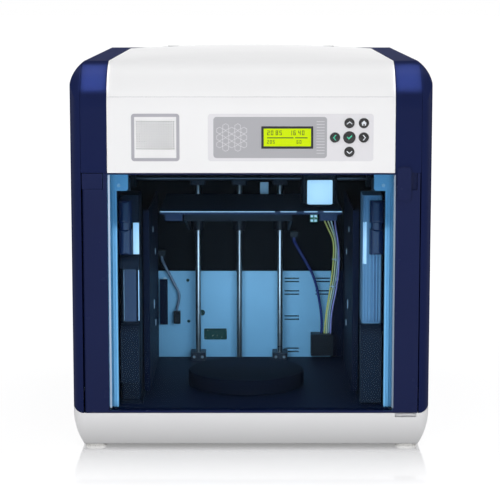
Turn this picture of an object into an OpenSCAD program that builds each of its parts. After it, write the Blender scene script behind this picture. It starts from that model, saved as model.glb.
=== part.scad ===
// Enclosed desktop three-d printer with a scanning turntable.
// Millimetres, +Z up, front towards -Y, origin on the table under the middle of the machine.
// A "depth" is always measured backwards from the front face.

/* [Body] */
// Overall width
body_w = 468; // [460:1:480]
// Overall depth, door handle included
body_d = 558; // [550:1:580]
// Height of the blue shell
body_h = 504; // [500:1:512]
// Rise of the lid's crown above the blue shell
lid_crown = 6; // [4:0.5:8]
// Wall of the moulded panels
wall = 3; // [2.5:0.1:3.5]
// Radius of the upright corners
corner_r = 15; // [10:1:18]
// Radius of the long top edges
edge_r = 43.3; // [40:0.1:46]
// Height of the long top edges' rounding
edge_rise = 34; // [30:0.5:38]
// Radius of the brow over the front
brow_r = 65; // [64.5:0.5:70]
// Height of the brow's rounding
brow_rise = 63; // [58:0.5:64]
// Radius of the rear top edge
rear_r = 12; // [8:1:16]
// Gap along the seams between panels
seam = 0.4; // [0.3:0.1:0.6]
// Width of a rail's front column
rail_w = 34; // [32:1:37]
// Width of a side panel's rounded front edge
side_panel_w = 14; // [13:0.5:16]
// Height of a rail's rear face
rail_drop = 24; // [18:1:30]
// Depth of the flange inside each rail and of the lid's skirt
flange = 12; // [8:1:13]

/* [Base] */
// Height of the feet
foot_h = 3.5; // [3:0.5:6]
// Width of a foot
foot_w = 27; // [22:1:32]
// Distance of a foot from the sides
foot_inset = 16; // [16:0.5:24]
// Distance of a foot from the front and rear faces
foot_set = 2; // [2:0.5:12]
// Top edge of the base
base_top = 45; // [42:1:46]
// How far the base's round sides draw in towards the feet
base_tuck = 15.6; // [12:0.2:15.8]
// Rise of the base's rim round the shell's lower corners
rim_rise = 8; // [6:0.5:9]
// Radius of the base's lower front and rear edges
base_r = 2; // [1:0.5:4]
// Radius of the posts that carry the chamber floor
post_r = 6; // [4:0.5:8]
// Width of the finger notch under the door
notch_w = 28; // [24:1:32]
// Height of the finger notch
notch_h = 5.5; // [5:0.5:8]
// Depth of the finger notch
notch_depth = 10; // [8:1:14]

/* [Door] */
// Height of the white fascia above the door
fascia_h = 98; // [94:1:100]
// Thickness of the door frame
door_t = 8; // [7.5:0.1:9]
// Gap between the door and the side panels
door_gap = 1.5; // [1.4:0.1:2.2]
// Height of the door frame's bottom rail
door_sill = 3; // [2.5:0.1:4]
// Height of the door frame's top rail
door_head = 1.8; // [1.6:0.1:3]
// Overlap of the frame's stiles over the window
rabbet = 3; // [2:0.5:3.5]
// Overlap of the frame's rails over the window
rail_lap = 0.8; // [0.6:0.1:1]
// Thickness of the window
window_t = 3; // [2:0.5:4]
// Depth of the window's face behind the frame's face
window_set = 2; // [1:0.5:3]
// Radius of the hinge pins
pin_r = 2.5; // [2:0.1:2.8]
// Length of a hinge pin inside the door
pin_len = 10; // [8:1:14]
// Distance of the door's hinge axis from its edge and from its face
hinge_inset = 4; // [3.8:0.1:4]
// Width of the upper hinge block
hinge_block_w = 26.5; // [22:0.5:27]
// Height of the upper hinge block
hinge_block_h = 20; // [14:1:24]
// How far the handle stands out from the door
handle_proud = 4; // [3:0.5:6]
// Width of the handle
handle_w = 19; // [16:1:20]
// Height of the handle
handle_h = 44; // [36:1:50]
// How far the handle reaches over the fascia's seam
handle_over = 8; // [4:1:12]
// Width of the finger recess beside the handle
recess_w = 8; // [6:0.5:8.5]
// Height of the finger recess
recess_h = 22; // [16:1:28]
// Depth of the finger recess
recess_depth = 6; // [5:0.5:6.5]

/* [Lid] */
// Height of the lid's front seam below the shell's top
lid_seam_drop = 44; // [40:1:48]
// Distance of the lid's rear edge from the rear face
lid_back = 55; // [50:1:70]
// Depth over which the lid rises to its full height
lid_slope_d = 200; // [150:5:260]
// Distance of each lid hinge from the middle
lid_hinge_x = 120; // [80:1:150]
// Length of a fixed lid knuckle
knuckle_w = 16; // [12:1:24]
// Radius of the lid's knuckles
knuckle_r = 5; // [4.5:0.1:5.5]
// Width of a lid ear
ear_w = 6; // [5:0.5:8]

/* [Control panel] */
// Width of the control panel
panel_w = 213; // [205:1:216]
// Height of the control panel and of the grille
panel_h = 61; // [58:0.5:62]
// Middle of the control panel
panel_mid_x = 51; // [45:1:58]
// Height of the middle of the control panel above the door
panel_rise = 45.8; // [42:0.1:47]
// Thickness of the control panel
panel_t = 2; // [1.5:0.1:2.3]
// How far the control panel stands out
panel_proud = 0.3; // [0.1:0.1:0.6]
// Width of the ledge behind the panel's edge
ledge = 3; // [2:0.5:5]
// Width of the display's frame
lcd_w = 67; // [60:1:72]
// Height of the display's frame
lcd_h = 29; // [26:0.5:32]
// Middle of the display
lcd_x = 46.6; // [40:0.1:52]
// Border of the display's frame
lcd_border = 3; // [2:0.5:4]
// Distance between the keys
key_pitch = 18.5; // [17.5:0.1:19]
// Radius of a key
key_r = 6.3; // [5.5:0.1:6.5]
// Radius of the middle key
ok_r = 7.7; // [7:0.1:8]
// Middle of the key cross
keys_x = 126.4; // [122:0.1:128]
// Travel of a key
key_travel = 1; // [0.6:0.1:1.2]
// Height of a key's dome
key_dome = 1.8; // [1.2:0.1:2.4]
// Depth of the keypad board behind the front face
board_depth = 9; // [8.5:0.1:11]
// Width of the grille plate
grille_w = 62; // [58:1:64]
// Middle of the grille plate
grille_x = -123.2; // [-126:0.1:-118]
// Columns of grille holes
grille_cols = 16; // [8:1:17]
// Rows of grille holes
grille_rows = 12; // [6:1:14]
// Pitch of the grille holes
grille_pitch = 3.15; // [2.8:0.05:3.3]
// Diameter of a grille hole
grille_hole = 1.7; // [1:0.1:2]

/* [Chamber] */
// Distance of the inner walls from the scanner towers
inner_gap = 9; // [8.5:0.5:12]
// Depth of the back wall
chamber_d = 345; // [343:1:350]
// Top of the chamber floor
floor_z = 50; // [49.5:0.5:52]
// Thickness of the sheet metal
sheet_t = 2; // [1.5:0.1:2.5]
// Top of the pale lower back wall
back_split = 180; // [160:1:200]
// Depth of the front edge of the inner walls
inner_front = 110; // [106:1:130]
// Top of the inner walls below the bed's surface at rest
inner_drop = 2; // [0:1:40]
// Width of a chassis post
post_w = 16; // [12:1:18]
// Depth of a chassis post
post_d = 10; // [8:1:12]
// Depth of the front posts
post_front = 16; // [14:1:20]
// Height of the shelf for the filament cartridge above the door
shelf_rise = 8; // [6:1:18]

/* [Bed] */
// Gap between the print bed and the inner walls
bed_side = 16; // [13:1:28]
// Depth of the print bed
bed_d = 205; // [190:1:210]
// Depth of the bed's front edge
bed_front = 80; // [70:1:90]
// Bed's surface at rest below the gantry rods
bed_drop = 41; // [39:1:47]
// Thickness of the bed plate
bed_t = 4; // [3:0.5:6]
// Height of the spacers under the bed
bed_spacer = 4; // [3:0.5:6]
// Lower edge of the bed carriage below the bed's surface
carriage_h = 57; // [50:1:58]
// Radius of the guide rods and of the lead screw
rod_r = 4; // [3.5:0.1:4.5]
// Left upright rod
rod_left = -78; // [-84:1:-72]
// Right upright rod
rod_right = 43; // [38:1:50]
// Lead screw
screw_x = -17; // [-24:1:-10]
// Distance of the upright rods from the back wall
rod_gap = 20; // [19:1:23]
// How far the upright rods reach above the bed's surface
rod_over = 20; // [14:1:22]
// Radius of the bed's bushings
bush_r = 9; // [8:0.5:10]
// Radial clearance of running fits
run_gap = 0.05; // [0.03:0.01:0.08]

/* [Gantry] */
// Distance of the long gantry rods from the side plates
y_rod_gap = 19; // [18:0.5:21]
// Gantry rods below the door's top
gantry_drop = 19; // [17:0.5:20]
// Depth of the gantry at rest
gantry_depth = 130; // [120:1:140]
// Radius of the cross rods
x_rod_r = 3; // [2.5:0.1:3.5]
// Distance between the cross rods
x_rod_pitch = 24; // [20:1:24]
// Length of a gantry slider
slider_d = 34; // [32:1:40]
// Width of a gantry slider
slider_w = 24; // [22:1:24]
// Height of a gantry slider
slider_h = 24; // [20:1:24]
// Radius of the belt pulleys
pulley_r = 6; // [5:0.5:6.5]
// Thickness of the belts
belt_t = 1.2; // [0.8:0.1:1.5]
// Width of the belts
belt_w = 6; // [5:0.5:6]
// Height of the drive shaft above the gantry rods
shaft_rise = 15; // [14:0.5:17]
// Distance of the drive shaft from the back wall
shaft_gap = 10; // [7:1:13]
// Depth of the front belt idlers
idler_depth = 58; // [55:1:65]
// Cross belt pulleys from the inner faces of the sliders
x_pulley_in = 4; // [0:1:6]
// Middle of the print head at rest from the bed's right edge
head_side = 30; // [22:1:42]
// Width of the print head
head_w = 48; // [44:1:52]
// Depth of the print head
head_d = 54; // [50:1:58]
// Gap between the bed and the print head's housing
head_gap = 8; // [7:0.5:12]
// Gap between the nozzle and the bed
nozzle_gap = 1; // [0.6:0.1:1.5]
// Side of a square motor
motor_w = 42; // [38:1:43]
// Side of the small motor on the gantry
small_motor_w = 35; // [32:1:36]

/* [Turntable] */
// Diameter of the turntable
table_d = 160; // [140:1:170]
// Top of the turntable
table_top = 73; // [70:1:78]
// Middle of the turntable
table_x = -6.7; // [-12:0.1:4]
// Depth of the middle of the turntable
table_depth = 150; // [145:1:160]
// Radius of the turntable's spindle
spindle_r = 4; // [3:0.5:5]

/* [Scanner] */
// Width of a scanner tower
tower_w = 26; // [22:1:28]
// Gap between a tower and the chassis post
tower_gap = 2; // [0.5:0.5:4]
// Depth of a tower's front face
tower_front = 42; // [40:1:46]
// Depth of a tower's rear face
tower_back = 96; // [90:1:102]
// Top of the towers below the gantry rods
tower_drop = 15; // [13:1:21]

/* [Rear] */
// Side of the square rear fan
fan_w = 60; // [56:1:64]
// Thickness of the rear fan
fan_t = 15; // [12:1:20]
// Middle of the fan
fan_x = -130; // [-140:1:-120]
// Height of the fan's middle
fan_z = 130; // [120:1:150]
// Middle of the power inlet
inlet_x = 150; // [140:1:160]
// Height of the lower edge of the power inlet
inlet_z = 66; // [62:1:80]
// Width of the power inlet
inlet_w = 31; // [30:0.5:34]
// Height of the power inlet with its switch
inlet_h = 54; // [53:1:60]
// Depth of the power inlet
inlet_d = 26; // [24:1:32]

/* [Hidden] */
$fn = 64;
// Overcut of a cutting shape
cut = 1;
// Gap between still pieces that only sit side by side
loose = 0.3;

half_w = body_w / 2;
front_y = handle_proud - body_d / 2;
back_y = body_d / 2;
shell_d = back_y - front_y;
brow_z = body_h - brow_rise;
edge_z = body_h - edge_rise;
crease = brow_r - sqrt(brow_r * brow_r - brow_rise * brow_rise);
panel_x = half_w - side_panel_w;
rail_x = panel_x - rail_w;
lid_seam = body_h - lid_seam_drop;
lid_top = body_h + lid_crown;
crown_r = (rail_x * rail_x + lid_crown * lid_crown) / (2 * lid_crown);

door_top = lid_seam - fascia_h;
door_half = panel_x - door_gap;
door_low = base_top + seam;
door_high = door_top - seam;
hinge_x = hinge_inset - door_half;
hinge_y = front_y + hinge_inset;
hinge_block_x = hinge_x + hinge_block_w - hinge_inset;
hinge_notch_z = door_high - hinge_block_h - 2 * seam;
handle_x = rail_x + 2;
handle_z = door_top + handle_over - handle_h;
notch_x = rail_x + loose * 10;

lid_axis_y = back_y - lid_back + loose * 10;
lid_axis_z = body_h - 1;
// The opening lid's rear edge swings back into this much room
lid_swing = 10;
rear_lip = lid_back - lid_swing;
gutter_z = lid_axis_z - 15;

panel_z = door_top + panel_rise;
panel_face = front_y - panel_proud;
panel_back = panel_face + panel_t;
board_y = front_y + board_depth;
// Back of a key's stem, clear of its switch through the whole travel
key_back = board_y - 1.5 - key_travel - loose;

// The chassis stands between the shell's two rails
plate_in = rail_x + wall;
plate_out = plate_in + sheet_t;
post_in = plate_out - post_w;
chassis_top = lid_seam - 5;
chassis_back = chamber_d + sheet_t + 5;
shelf_z = door_top + shelf_rise;
tower_x = post_in - tower_gap - tower_w;
inner_x = tower_x - inner_gap;
under_floor = floor_z - sheet_t;
base_floor = foot_h + wall;

gantry_z = door_top - gantry_drop;
shaft_z = gantry_z + shaft_rise;
shaft_depth = chamber_d - shaft_gap;
y_rod_x = plate_in - y_rod_gap;
tower_top = gantry_z - tower_drop;

bed_z = gantry_z - bed_drop;
bed_w = 2 * (inner_x - bed_side);
inner_top = bed_z - inner_drop;
rod_depth = chamber_d - rod_gap;
rod_top = bed_z + rod_over;
head_x = bed_w / 2 - head_side;
head_low = bed_z + head_gap;
bed_under = bed_z - bed_t;
arm_top = bed_under - bed_spacer;
carriage_low = bed_z - carriage_h;
gantry_y = front_y + gantry_depth;
rod_y = front_y + rod_depth;
slider_out = y_rod_x + slider_w / 2 - 2;
slider_in = slider_out - slider_w;
x_pulley_x = slider_in + x_pulley_in;
x_belt_z = gantry_z + slider_h / 2 + 2;
y_belt_x = slider_out + 1;
shaft_y = front_y + shaft_depth;
table_y = front_y + table_depth;

// Routes of the cables on the back wall: distance from the nearest inner wall, distance from the
// back wall, height
harness_wires = [
    [[30, 7, 263], [29.8, 7.3, 259], [25, 9, 247], [17, 12, 228], [16, 12, 200],
        [20, 13, 160], [26, 14, 120], [29, 14, 88.5]],
    [[25, 7, 263], [24.8, 7.4, 259], [20, 13, 246], [14, 15, 229], [13, 15, 200],
        [17, 16, 160], [24, 16, 120], [26, 16, 88.5]],
    [[20, 7, 263], [19.9, 7.2, 259], [17, 10, 247], [13, 11, 229], [10, 11, 200],
        [14, 12, 160], [21, 12, 120], [23, 12, 88.5]],
    [[14, 7, 263], [14, 7.4, 259], [13, 14, 246], [10, 16, 229], [8, 16, 200],
        [11, 17, 160], [18, 17, 120], [20, 17, 88.5]]
];
// Route of the bed's blue cable
bed_cable = [[74, 5, 231], [73.9, 5.3, 226], [70, 9, 219], [65, 11.5, 210], [56, 11, 194],
    [45, 9, 172], [37, 9, 140], [33, 11, 110], [33, 13, 88.5]];
// Route of the grey cable on the left
left_cable = [[6, 3.5, 203], [6.1, 3.7, 198], [9, 7, 192], [14, 8, 182], [24, 6, 162],
    [31, 5, 146], [30, 5, 132], [28.1, 5, 125], [28, 5, 121]];
wire_r = 1.1;
cable_r = 2;

navy = [0.13, 0.16, 0.31];
white = [0.93, 0.93, 0.94];
black = [0.06, 0.06, 0.07];
dark = [0.15, 0.16, 0.18];
grey = [0.78, 0.78, 0.81];
steel = [0.72, 0.74, 0.76];
chrome = [0.86, 0.87, 0.88];
board_green = [0.10, 0.38, 0.22];
tint = [0.30, 0.45, 0.62, 0.35];

// Helpers

// A box from its lowest to its highest corner
module block(low, high) { translate(low) cube(high - low); }

// The same box with y measured as a depth
module deep_block(low, high) { translate([0, front_y, 0]) block(low, high); }

// Extrudes an XZ outline along Y
module along_y(y0, y1) { translate([0, y1, 0]) rotate([90, 0, 0]) linear_extrude(y1 - y0) children(); }

// Extrudes a YZ outline along X
module along_x(x0, x1) { translate([x0, 0, 0]) rotate([90, 0, 90]) linear_extrude(x1 - x0) children(); }

// Extrudes an XY outline along Z
module along_z(z0, z1) { translate([0, 0, z0]) linear_extrude(z1 - z0) children(); }

// A rectangle with round corners
module rounded_rect(low, high, r) {
    size = high - low;
    translate(low + [r, 0]) square(size - [2 * r, 0]);
    translate(low + [0, r]) square(size - [0, 2 * r]);
    for (x = [low.x + r, high.x - r], y = [low.y + r, high.y - r])
        translate([x, y]) circle(r);
}

// A slot with round ends between two heights
module upright_slot(x, z0, z1, w) { rounded_rect([x - w / 2, z0], [x + w / 2, z1], w * 0.499); }

// A round bar along Y, from one y to another
module bar_y(x, z, r, y0, y1) { translate([x, y1, z]) rotate([90, 0, 0]) cylinder(r = r, h = y1 - y0); }

// A round bar along X, from one x to another
module bar_x(y, z, r, x0, x1) { translate([x0, y, z]) rotate([0, 90, 0]) cylinder(r = r, h = x1 - x0); }

// A round bar along Z, from one height to another
module bar_z(x, y, r, z0, z1) { translate([x, y, z0]) cylinder(r = r, h = z1 - z0); }

module mirrored() {
    children();
    mirror([1, 0, 0]) children();
}

// Points of a smooth curve through a route, in steps per stretch
function spline_at(p, i, t) =
    let (n = len(p), a = p[max(i - 1, 0)], b = p[i], c = p[i + 1], d = p[min(i + 2, n - 1)])
    0.5 * (2 * b + (c - a) * t + (2 * a - 5 * b + 4 * c - d) * t * t + (3 * b - a - 3 * c + d) * t * t * t);
function smooth_route(p, steps) =
    [for (i = [0:len(p) - 2], k = [0:steps - 1]) spline_at(p, i, k / steps), p[len(p) - 1]];
function unit(v) = v / norm(v);

// A round cable swept along a route on the back wall, from the right inner wall (side 1) or the
// left one (-1);
// no stretch may run straight along Y
module cable(route, r, side = 1, sides = 8, steps = 3) {
    path = [for (p = smooth_route(route, steps)) [side * (inner_x - p.x), front_y + chamber_d - p.y, p.z]];
    n = len(path);
    tangents = [for (i = [0:n - 1]) unit(path[min(i + 1, n - 1)] - path[max(i - 1, 0)])];
    across = [for (t = tangents) unit(cross(t, [0, 1, 0]))];
    points = [for (i = [0:n - 1], k = [0:sides - 1])
        let (a = 360 * k / sides)
        path[i] + r * (across[i] * cos(a) + cross(across[i], tangents[i]) * sin(a))];
    side_faces = [for (i = [0:n - 2], k = [0:sides - 1])
        let (a = i * sides + k, b = i * sides + (k + 1) % sides) each
        [[a, b, b + sides], [a, b + sides, a + sides]]];
    caps = [[for (k = [sides - 1:-1:0]) k], [for (k = [0:sides - 1]) (n - 1) * sides + k]];
    polyhedron(points, concat(side_faces, caps));
}

// The shell's envelope

// Side view of the shell: upright front, round brow, flat top, round rear edge
module side_outline(inset) {
    top = body_h - inset;
    rear = back_y - inset;
    r = max(rear_r - inset, cut);
    intersection() {
        union() {
            translate([front_y + brow_r, brow_z]) circle(brow_r - inset);
            translate([front_y + inset, -inset]) square([rear - front_y - inset, brow_z + inset]);
            translate([front_y + brow_r, -inset]) square([rear - r - front_y - brow_r, top + inset]);
            translate([rear - r - cut, -inset]) square([r + cut, top - r + inset]);
            translate([rear - r, top - r]) circle(r);
        }
        translate([front_y, -inset]) square([shell_d, top + inset]);
    }
}

// Front view of the shell: upright sides and round top edges
module front_outline(inset) {
    top = body_h - inset;
    intersection() {
        union() {
            translate([inset - half_w, -inset]) square([body_w - 2 * inset, edge_z + inset]);
            translate([edge_r - half_w, -inset]) square([body_w - 2 * edge_r, top + inset]);
            for (s = [-1, 1])
                translate([s * (half_w - edge_r), edge_z]) circle(edge_r - inset);
        }
        translate([-half_w, -inset]) square([body_w, top + inset]);
    }
}

module plan_outline(inset) {
    rounded_rect([inset - half_w, front_y + inset], [half_w - inset, back_y - inset], corner_r - inset);
}

module envelope(inset) {
    intersection() {
        along_y(front_y - cut, back_y + cut) front_outline(inset);
        along_x(-half_w - cut, half_w + cut) side_outline(inset);
        along_z(-inset, body_h + cut) plan_outline(inset);
    }
}

module shell(thick) {
    difference() {
        envelope(0);
        envelope(thick);
    }
}

// Casing

rim_z = base_top + rim_rise;
rim_r = (side_panel_w * side_panel_w + rim_rise * rim_rise) / (2 * rim_rise);
flank_h = rim_z - foot_h;
flank_r = (base_tuck * base_tuck + flank_h * flank_h) / (2 * base_tuck);
flank_over = 0.4;

// Room above the base in the front view: flat over the front, round at the shell's lower corners
module above_base(gap, top) {
    translate([-panel_x, base_top + gap]) square([2 * panel_x, top - base_top - gap]);
    for (s = [-1, 1])
        translate([s * panel_x, base_top + rim_r]) circle(rim_r - gap);
}

// Front view of the base's round sides, which draw in downwards and run on past its top and bottom
module base_outline(inset) {
    mid = half_w + flank_over - flank_r;
    translate([-mid, 0]) square([2 * mid, rim_z + cut]);
    for (s = [-1, 1])
        translate([s * mid, rim_z]) circle(flank_r - inset, $fn = 256);
}

module base_solid(inset) {
    intersection() {
        along_y(front_y - cut, back_y + cut) base_outline(inset);
        along_x(-half_w - cut, half_w + cut)
            rounded_rect([front_y + inset, foot_h + inset], [back_y - inset, rim_z + 2 * base_r], base_r);
        along_z(0, rim_z + cut) plan_outline(inset);
    }
}

// Tray under the machine, with posts for the floor, a scooped finger notch and the lower hinge boss
module base_tray() {
    post_y = shell_d / 2 - 4 * post_r;
    color(white) difference() {
        union() {
            difference() {
                base_solid(0);
                base_solid(wall);
                along_y(front_y - cut, back_y + cut) above_base(0, rim_z + 2 * cut);
            }
            for (x = [-1, 0, 1], y = [-1, 1])
                bar_z(x * (half_w - 7 * post_r), y * post_y + handle_proud / 2, post_r,
                    base_floor - cut, under_floor);
            intersection() {
                base_solid(wall / 2);
                union() {
                    deep_block([notch_x - wall, 0, base_top - 3 * notch_h],
                        [notch_x + notch_w + wall, notch_depth + wall, base_top]);
                    deep_block([hinge_x - 2 * pin_r, 0, base_top - 2 * pin_len],
                        [hinge_x + 3 * pin_r, hinge_inset + 3 * pin_r, base_top]);
                }
            }
        }
        translate([0, front_y, 0]) along_y(-cut, notch_depth)
            rounded_rect([notch_x, base_top - notch_h],
                [notch_x + notch_w, base_top + notch_h], notch_h * 0.2);
        bar_z(hinge_x, hinge_y, pin_r + run_gap, base_top - pin_len, base_top + cut);
    }
}

module feet() {
    corner = foot_w / 4;
    color(grey) for (sx = [-1, 1], y = [front_y + foot_set, back_y - foot_set - foot_w])
        along_z(0, foot_h) translate([sx * (half_w - foot_inset - foot_w / 2), y])
            rounded_rect([-foot_w / 2, 0], [foot_w / 2, foot_w], corner);
}

// Right-hand side panel: wraps the front, top and rear edges, and rounds off over the base's rim
module side_panel() {
    intersection() {
        shell(wall);
        block([panel_x, front_y - cut, base_top + seam], [half_w + cut, back_y + cut, body_h + cut]);
        along_y(front_y - cut, back_y + cut) {
            above_base(seam, body_h + cut);
            translate([panel_x - cut, base_top + rim_r]) square([side_panel_w + 2 * cut, body_h]);
        }
    }
}
module left_side_panel() { color(navy) mirror([1, 0, 0]) side_panel(); }
module right_side_panel() { color(navy) side_panel(); }

// Side view of a rail: a front column and a top strip
module rail_region() {
    polygon([
        [front_y - cut, door_top], [front_y - cut, body_h + cut], [back_y + cut, body_h + cut],
        [back_y + cut, body_h - rail_drop], [front_y + brow_r, body_h - rail_drop],
            [front_y + brow_r, door_top]
    ]);
}

// Part of the shell's side view that a rail takes up, to a given thickness
module rail_outline(thick) {
    intersection() {
        difference() {
            side_outline(0);
            side_outline(thick);
        }
        rail_region();
    }
}

// Right-hand rail: column and strip in one, with a flange along the lid
module rail() {
    intersection() {
        union() {
            along_x(rail_x, panel_x - seam) rail_outline(wall);
            along_x(rail_x, rail_x + wall) rail_outline(flange);
        }
        along_y(front_y - cut, back_y + cut) front_outline(0);
    }
}
module left_rail() { color(navy) mirror([1, 0, 0]) rail(); }
module right_rail() { color(navy) rail(); }

// Rear panel with its vents, fan grille and power cut-out, and the gutter under the lid's hinge
module rear_cover() {
    rail_low = body_h - rail_drop - seam;
    lip_y = back_y - rear_lip;
    vent_w = 3.4;
    vent_h = 46;
    vent_pitch = 9;
    vent_gap = 14;
    vent_top = body_h - 84;
    color(navy) difference() {
        union() {
            intersection() {
                shell(wall);
                union() {
                    block([seam - panel_x, back_y - rear_r, base_top + seam],
                        [panel_x - seam, back_y + cut, rail_low]);
                    block([seam - rail_x, lip_y, rail_low - cut],
                        [rail_x - seam, back_y + cut, body_h + cut]);
                }
            }
            block([seam - rail_x, lip_y, gutter_z - wall], [rail_x - seam, lip_y + wall, body_h - wall]);
            block([seam - rail_x, lid_axis_y - 2 * knuckle_r, gutter_z - wall],
                [rail_x - seam, lip_y + wall, gutter_z]);
        }
        translate([0, back_y, 0]) along_y(-wall - cut, cut) {
            for (row = [1, 2], k = [-9:9])
                translate([k * vent_pitch, vent_top - row * (vent_h + vent_gap)])
                    upright_slot(0, 0, vent_h, vent_w);
            translate([inlet_x, inlet_z])
                rounded_rect([-inlet_w / 2 - run_gap, -run_gap],
                    [inlet_w / 2 + run_gap, inlet_h + run_gap], 2);
            for (ring = [1:4], quarter = [0:3])
                translate([fan_x, fan_z]) rotate(quarter * 90)
                    grille_arc(fan_w * (0.08 + 0.1 * ring), vent_w, 74);
        }
    }
}

// A quarter arc of a round grille
module grille_arc(r, w, angle) {
    intersection() {
        difference() {
            circle(r + w / 2);
            circle(r - w / 2);
        }
        side = 2 * r * [cos(angle / 2), sin(angle / 2)];
        polygon([[0, 0], [side.x, -side.y], [3 * r, 0], side]);
    }
}

module plate_rect(mid_x, w, grow) {
    rounded_rect([mid_x - w / 2 - grow, panel_z - panel_h / 2 - grow],
        [mid_x + w / 2 + grow, panel_z + panel_h / 2 + grow], 4);
}

// Fixed white fascia between door and lid, with stepped openings for the panel and the grille
module front_fascia() {
    high = lid_seam - seam;
    side = rail_x - seam;
    color(white) difference() {
        union() {
            intersection() {
                shell(wall);
                block([-side, front_y - cut, door_top], [side, front_y + brow_r, high]);
            }
            for (x = [-side, side - wall])
                deep_block([x, wall - loose, door_top], [x + wall, flange, high]);
            deep_block([-side, wall - loose, door_top], [side, flange, door_top + wall]);
        }
        for (plate = [[panel_mid_x, panel_w], [grille_x, grille_w]]) {
            along_y(front_y - cut, panel_back) plate_rect(plate[0], plate[1], run_gap);
            along_y(front_y, front_y + wall + cut) plate_rect(plate[0], plate[1], -ledge);
        }
    }
}

// Control panel

module key_at(column, row) {
    translate([keys_x + column * key_pitch, 0, panel_z + row * key_pitch]) children();
}

// Columns and rows of the keys: up, home, left, ok, right, down
key_places = [[0, 1], [1, 1], [-1, 0], [0, 0], [1, 0], [0, -1]];
function key_radius(place) = place == [0, 0] ? ok_r : key_r;

module control_panel() {
    hole_gap = loose + run_gap;
    color(grey) {
        along_y(panel_face, panel_back) difference() {
            plate_rect(panel_mid_x, panel_w, 0);
            translate([lcd_x, panel_z]) square([lcd_w + 2 * run_gap, lcd_h + 2 * run_gap], center = true);
            for (place = key_places)
                translate([keys_x + place.x * key_pitch, panel_z + place.y * key_pitch])
                    circle(key_radius(place) + hole_gap);
        }
        for (x = [panel_mid_x - panel_w / 2 + 4 * ledge, keys_x - 1.2 * key_pitch], s = [-1, 1])
            bar_y(x, panel_z + s * (panel_h / 2 - 3 * ledge), 2.5, panel_back - loose, board_y);
    }
}

// Black frame around the display, held from behind by a flange
module lcd_bezel() {
    color(black) along_y(panel_face - 2 * panel_proud, panel_back) difference() {
        translate([lcd_x, panel_z]) square([lcd_w, lcd_h], center = true);
        translate([lcd_x, panel_z])
            square([lcd_w - 2 * lcd_border, lcd_h - 2 * lcd_border], center = true);
    }
}

// Display glass with its circuit behind it
module lcd_module() {
    color([0.70, 0.82, 0.10]) {
        along_y(panel_face, panel_back + cut) translate([lcd_x, panel_z])
            square([lcd_w - 2 * lcd_border - loose, lcd_h - 2 * lcd_border - loose], center = true);
        along_y(panel_back, board_y) translate([lcd_x, panel_z])
            square([lcd_w + ledge, lcd_h + ledge], center = true);
    }
}

// Circuit board behind the panel, with a switch behind each key
module keypad_board() {
    switch_w = 6;
    color(board_green) {
        along_y(board_y, board_y + 1.6) plate_rect(panel_mid_x, panel_w, -2 * ledge);
        for (place = key_places)
            key_at(place.x, place.y) along_y(board_y - 1.5, board_y + 0.5)
                square(switch_w, center = true);
    }
}

// Domed key with the flange that keeps it in the panel, and its stem
module key(place) {
    r = key_radius(place);
    ball_r = (r * r + key_dome * key_dome) / (2 * key_dome);
    key_at(place.x, place.y) {
        intersection() {
            bar_y(0, 0, r, panel_face - 2 * key_dome, panel_back + loose);
            translate([0, panel_face - 2 * key_dome + ball_r, 0]) sphere(ball_r, $fn = 96);
        }
        bar_y(0, 0, r, panel_face - key_dome, panel_back + loose);
        bar_y(0, 0, r + 1, panel_back + loose, panel_back + loose + 1);
        bar_y(0, 0, r / 2, panel_back + loose, key_back);
    }
}
module key_up() { color(black) key(key_places[0]); }
module key_home() { color(black) key(key_places[1]); }
module key_left() { color(black) key(key_places[2]); }
module key_ok() { color(black) key(key_places[3]); }
module key_right() { color(black) key(key_places[4]); }
module key_down() { color(black) key(key_places[5]); }

// Square plate with a raised frame and a field of small holes
module grille_plate() {
    frame_w = 4;
    field_z = panel_z + (panel_h - grille_rows * grille_pitch) / 2 - 2.2 * frame_w;
    color(white) {
        along_y(front_y, panel_back) difference() {
            plate_rect(grille_x, grille_w, 0);
            for (c = [0:grille_cols - 1], r = [0:grille_rows - 1])
                translate([grille_x + (c - (grille_cols - 1) / 2) * grille_pitch,
                    field_z + (r - (grille_rows - 1) / 2) * grille_pitch])
                        circle(d = grille_hole, $fn = 16);
        }
        along_y(panel_face - panel_proud, front_y) difference() {
            plate_rect(grille_x, grille_w, 0);
            plate_rect(grille_x, grille_w, -frame_w);
        }
    }
}

// Lid

module lid_outline(inset) {
    top = lid_top - inset;
    intersection() {
        translate([front_y + brow_r, brow_z]) circle(brow_r - inset);
        translate([front_y, brow_z]) square([brow_r, brow_rise - inset]);
    }
    polygon([
        [front_y + crease, brow_z], [front_y + crease, body_h - inset], [front_y + lid_slope_d, top],
        [back_y, top], [back_y, brow_z]
    ]);
}

module lid_envelope(inset) {
    half = rail_x - seam + (inset > 0 ? cut : 0);
    intersection() {
        along_x(-half, half) lid_outline(inset);
        along_y(front_y - cut, back_y + cut) intersection() {
            translate([0, lid_top - crown_r]) circle(crown_r - inset, $fn = 1800);
            translate([-half_w, 0]) square([body_w, 2 * body_h]);
        }
    }
}

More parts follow.
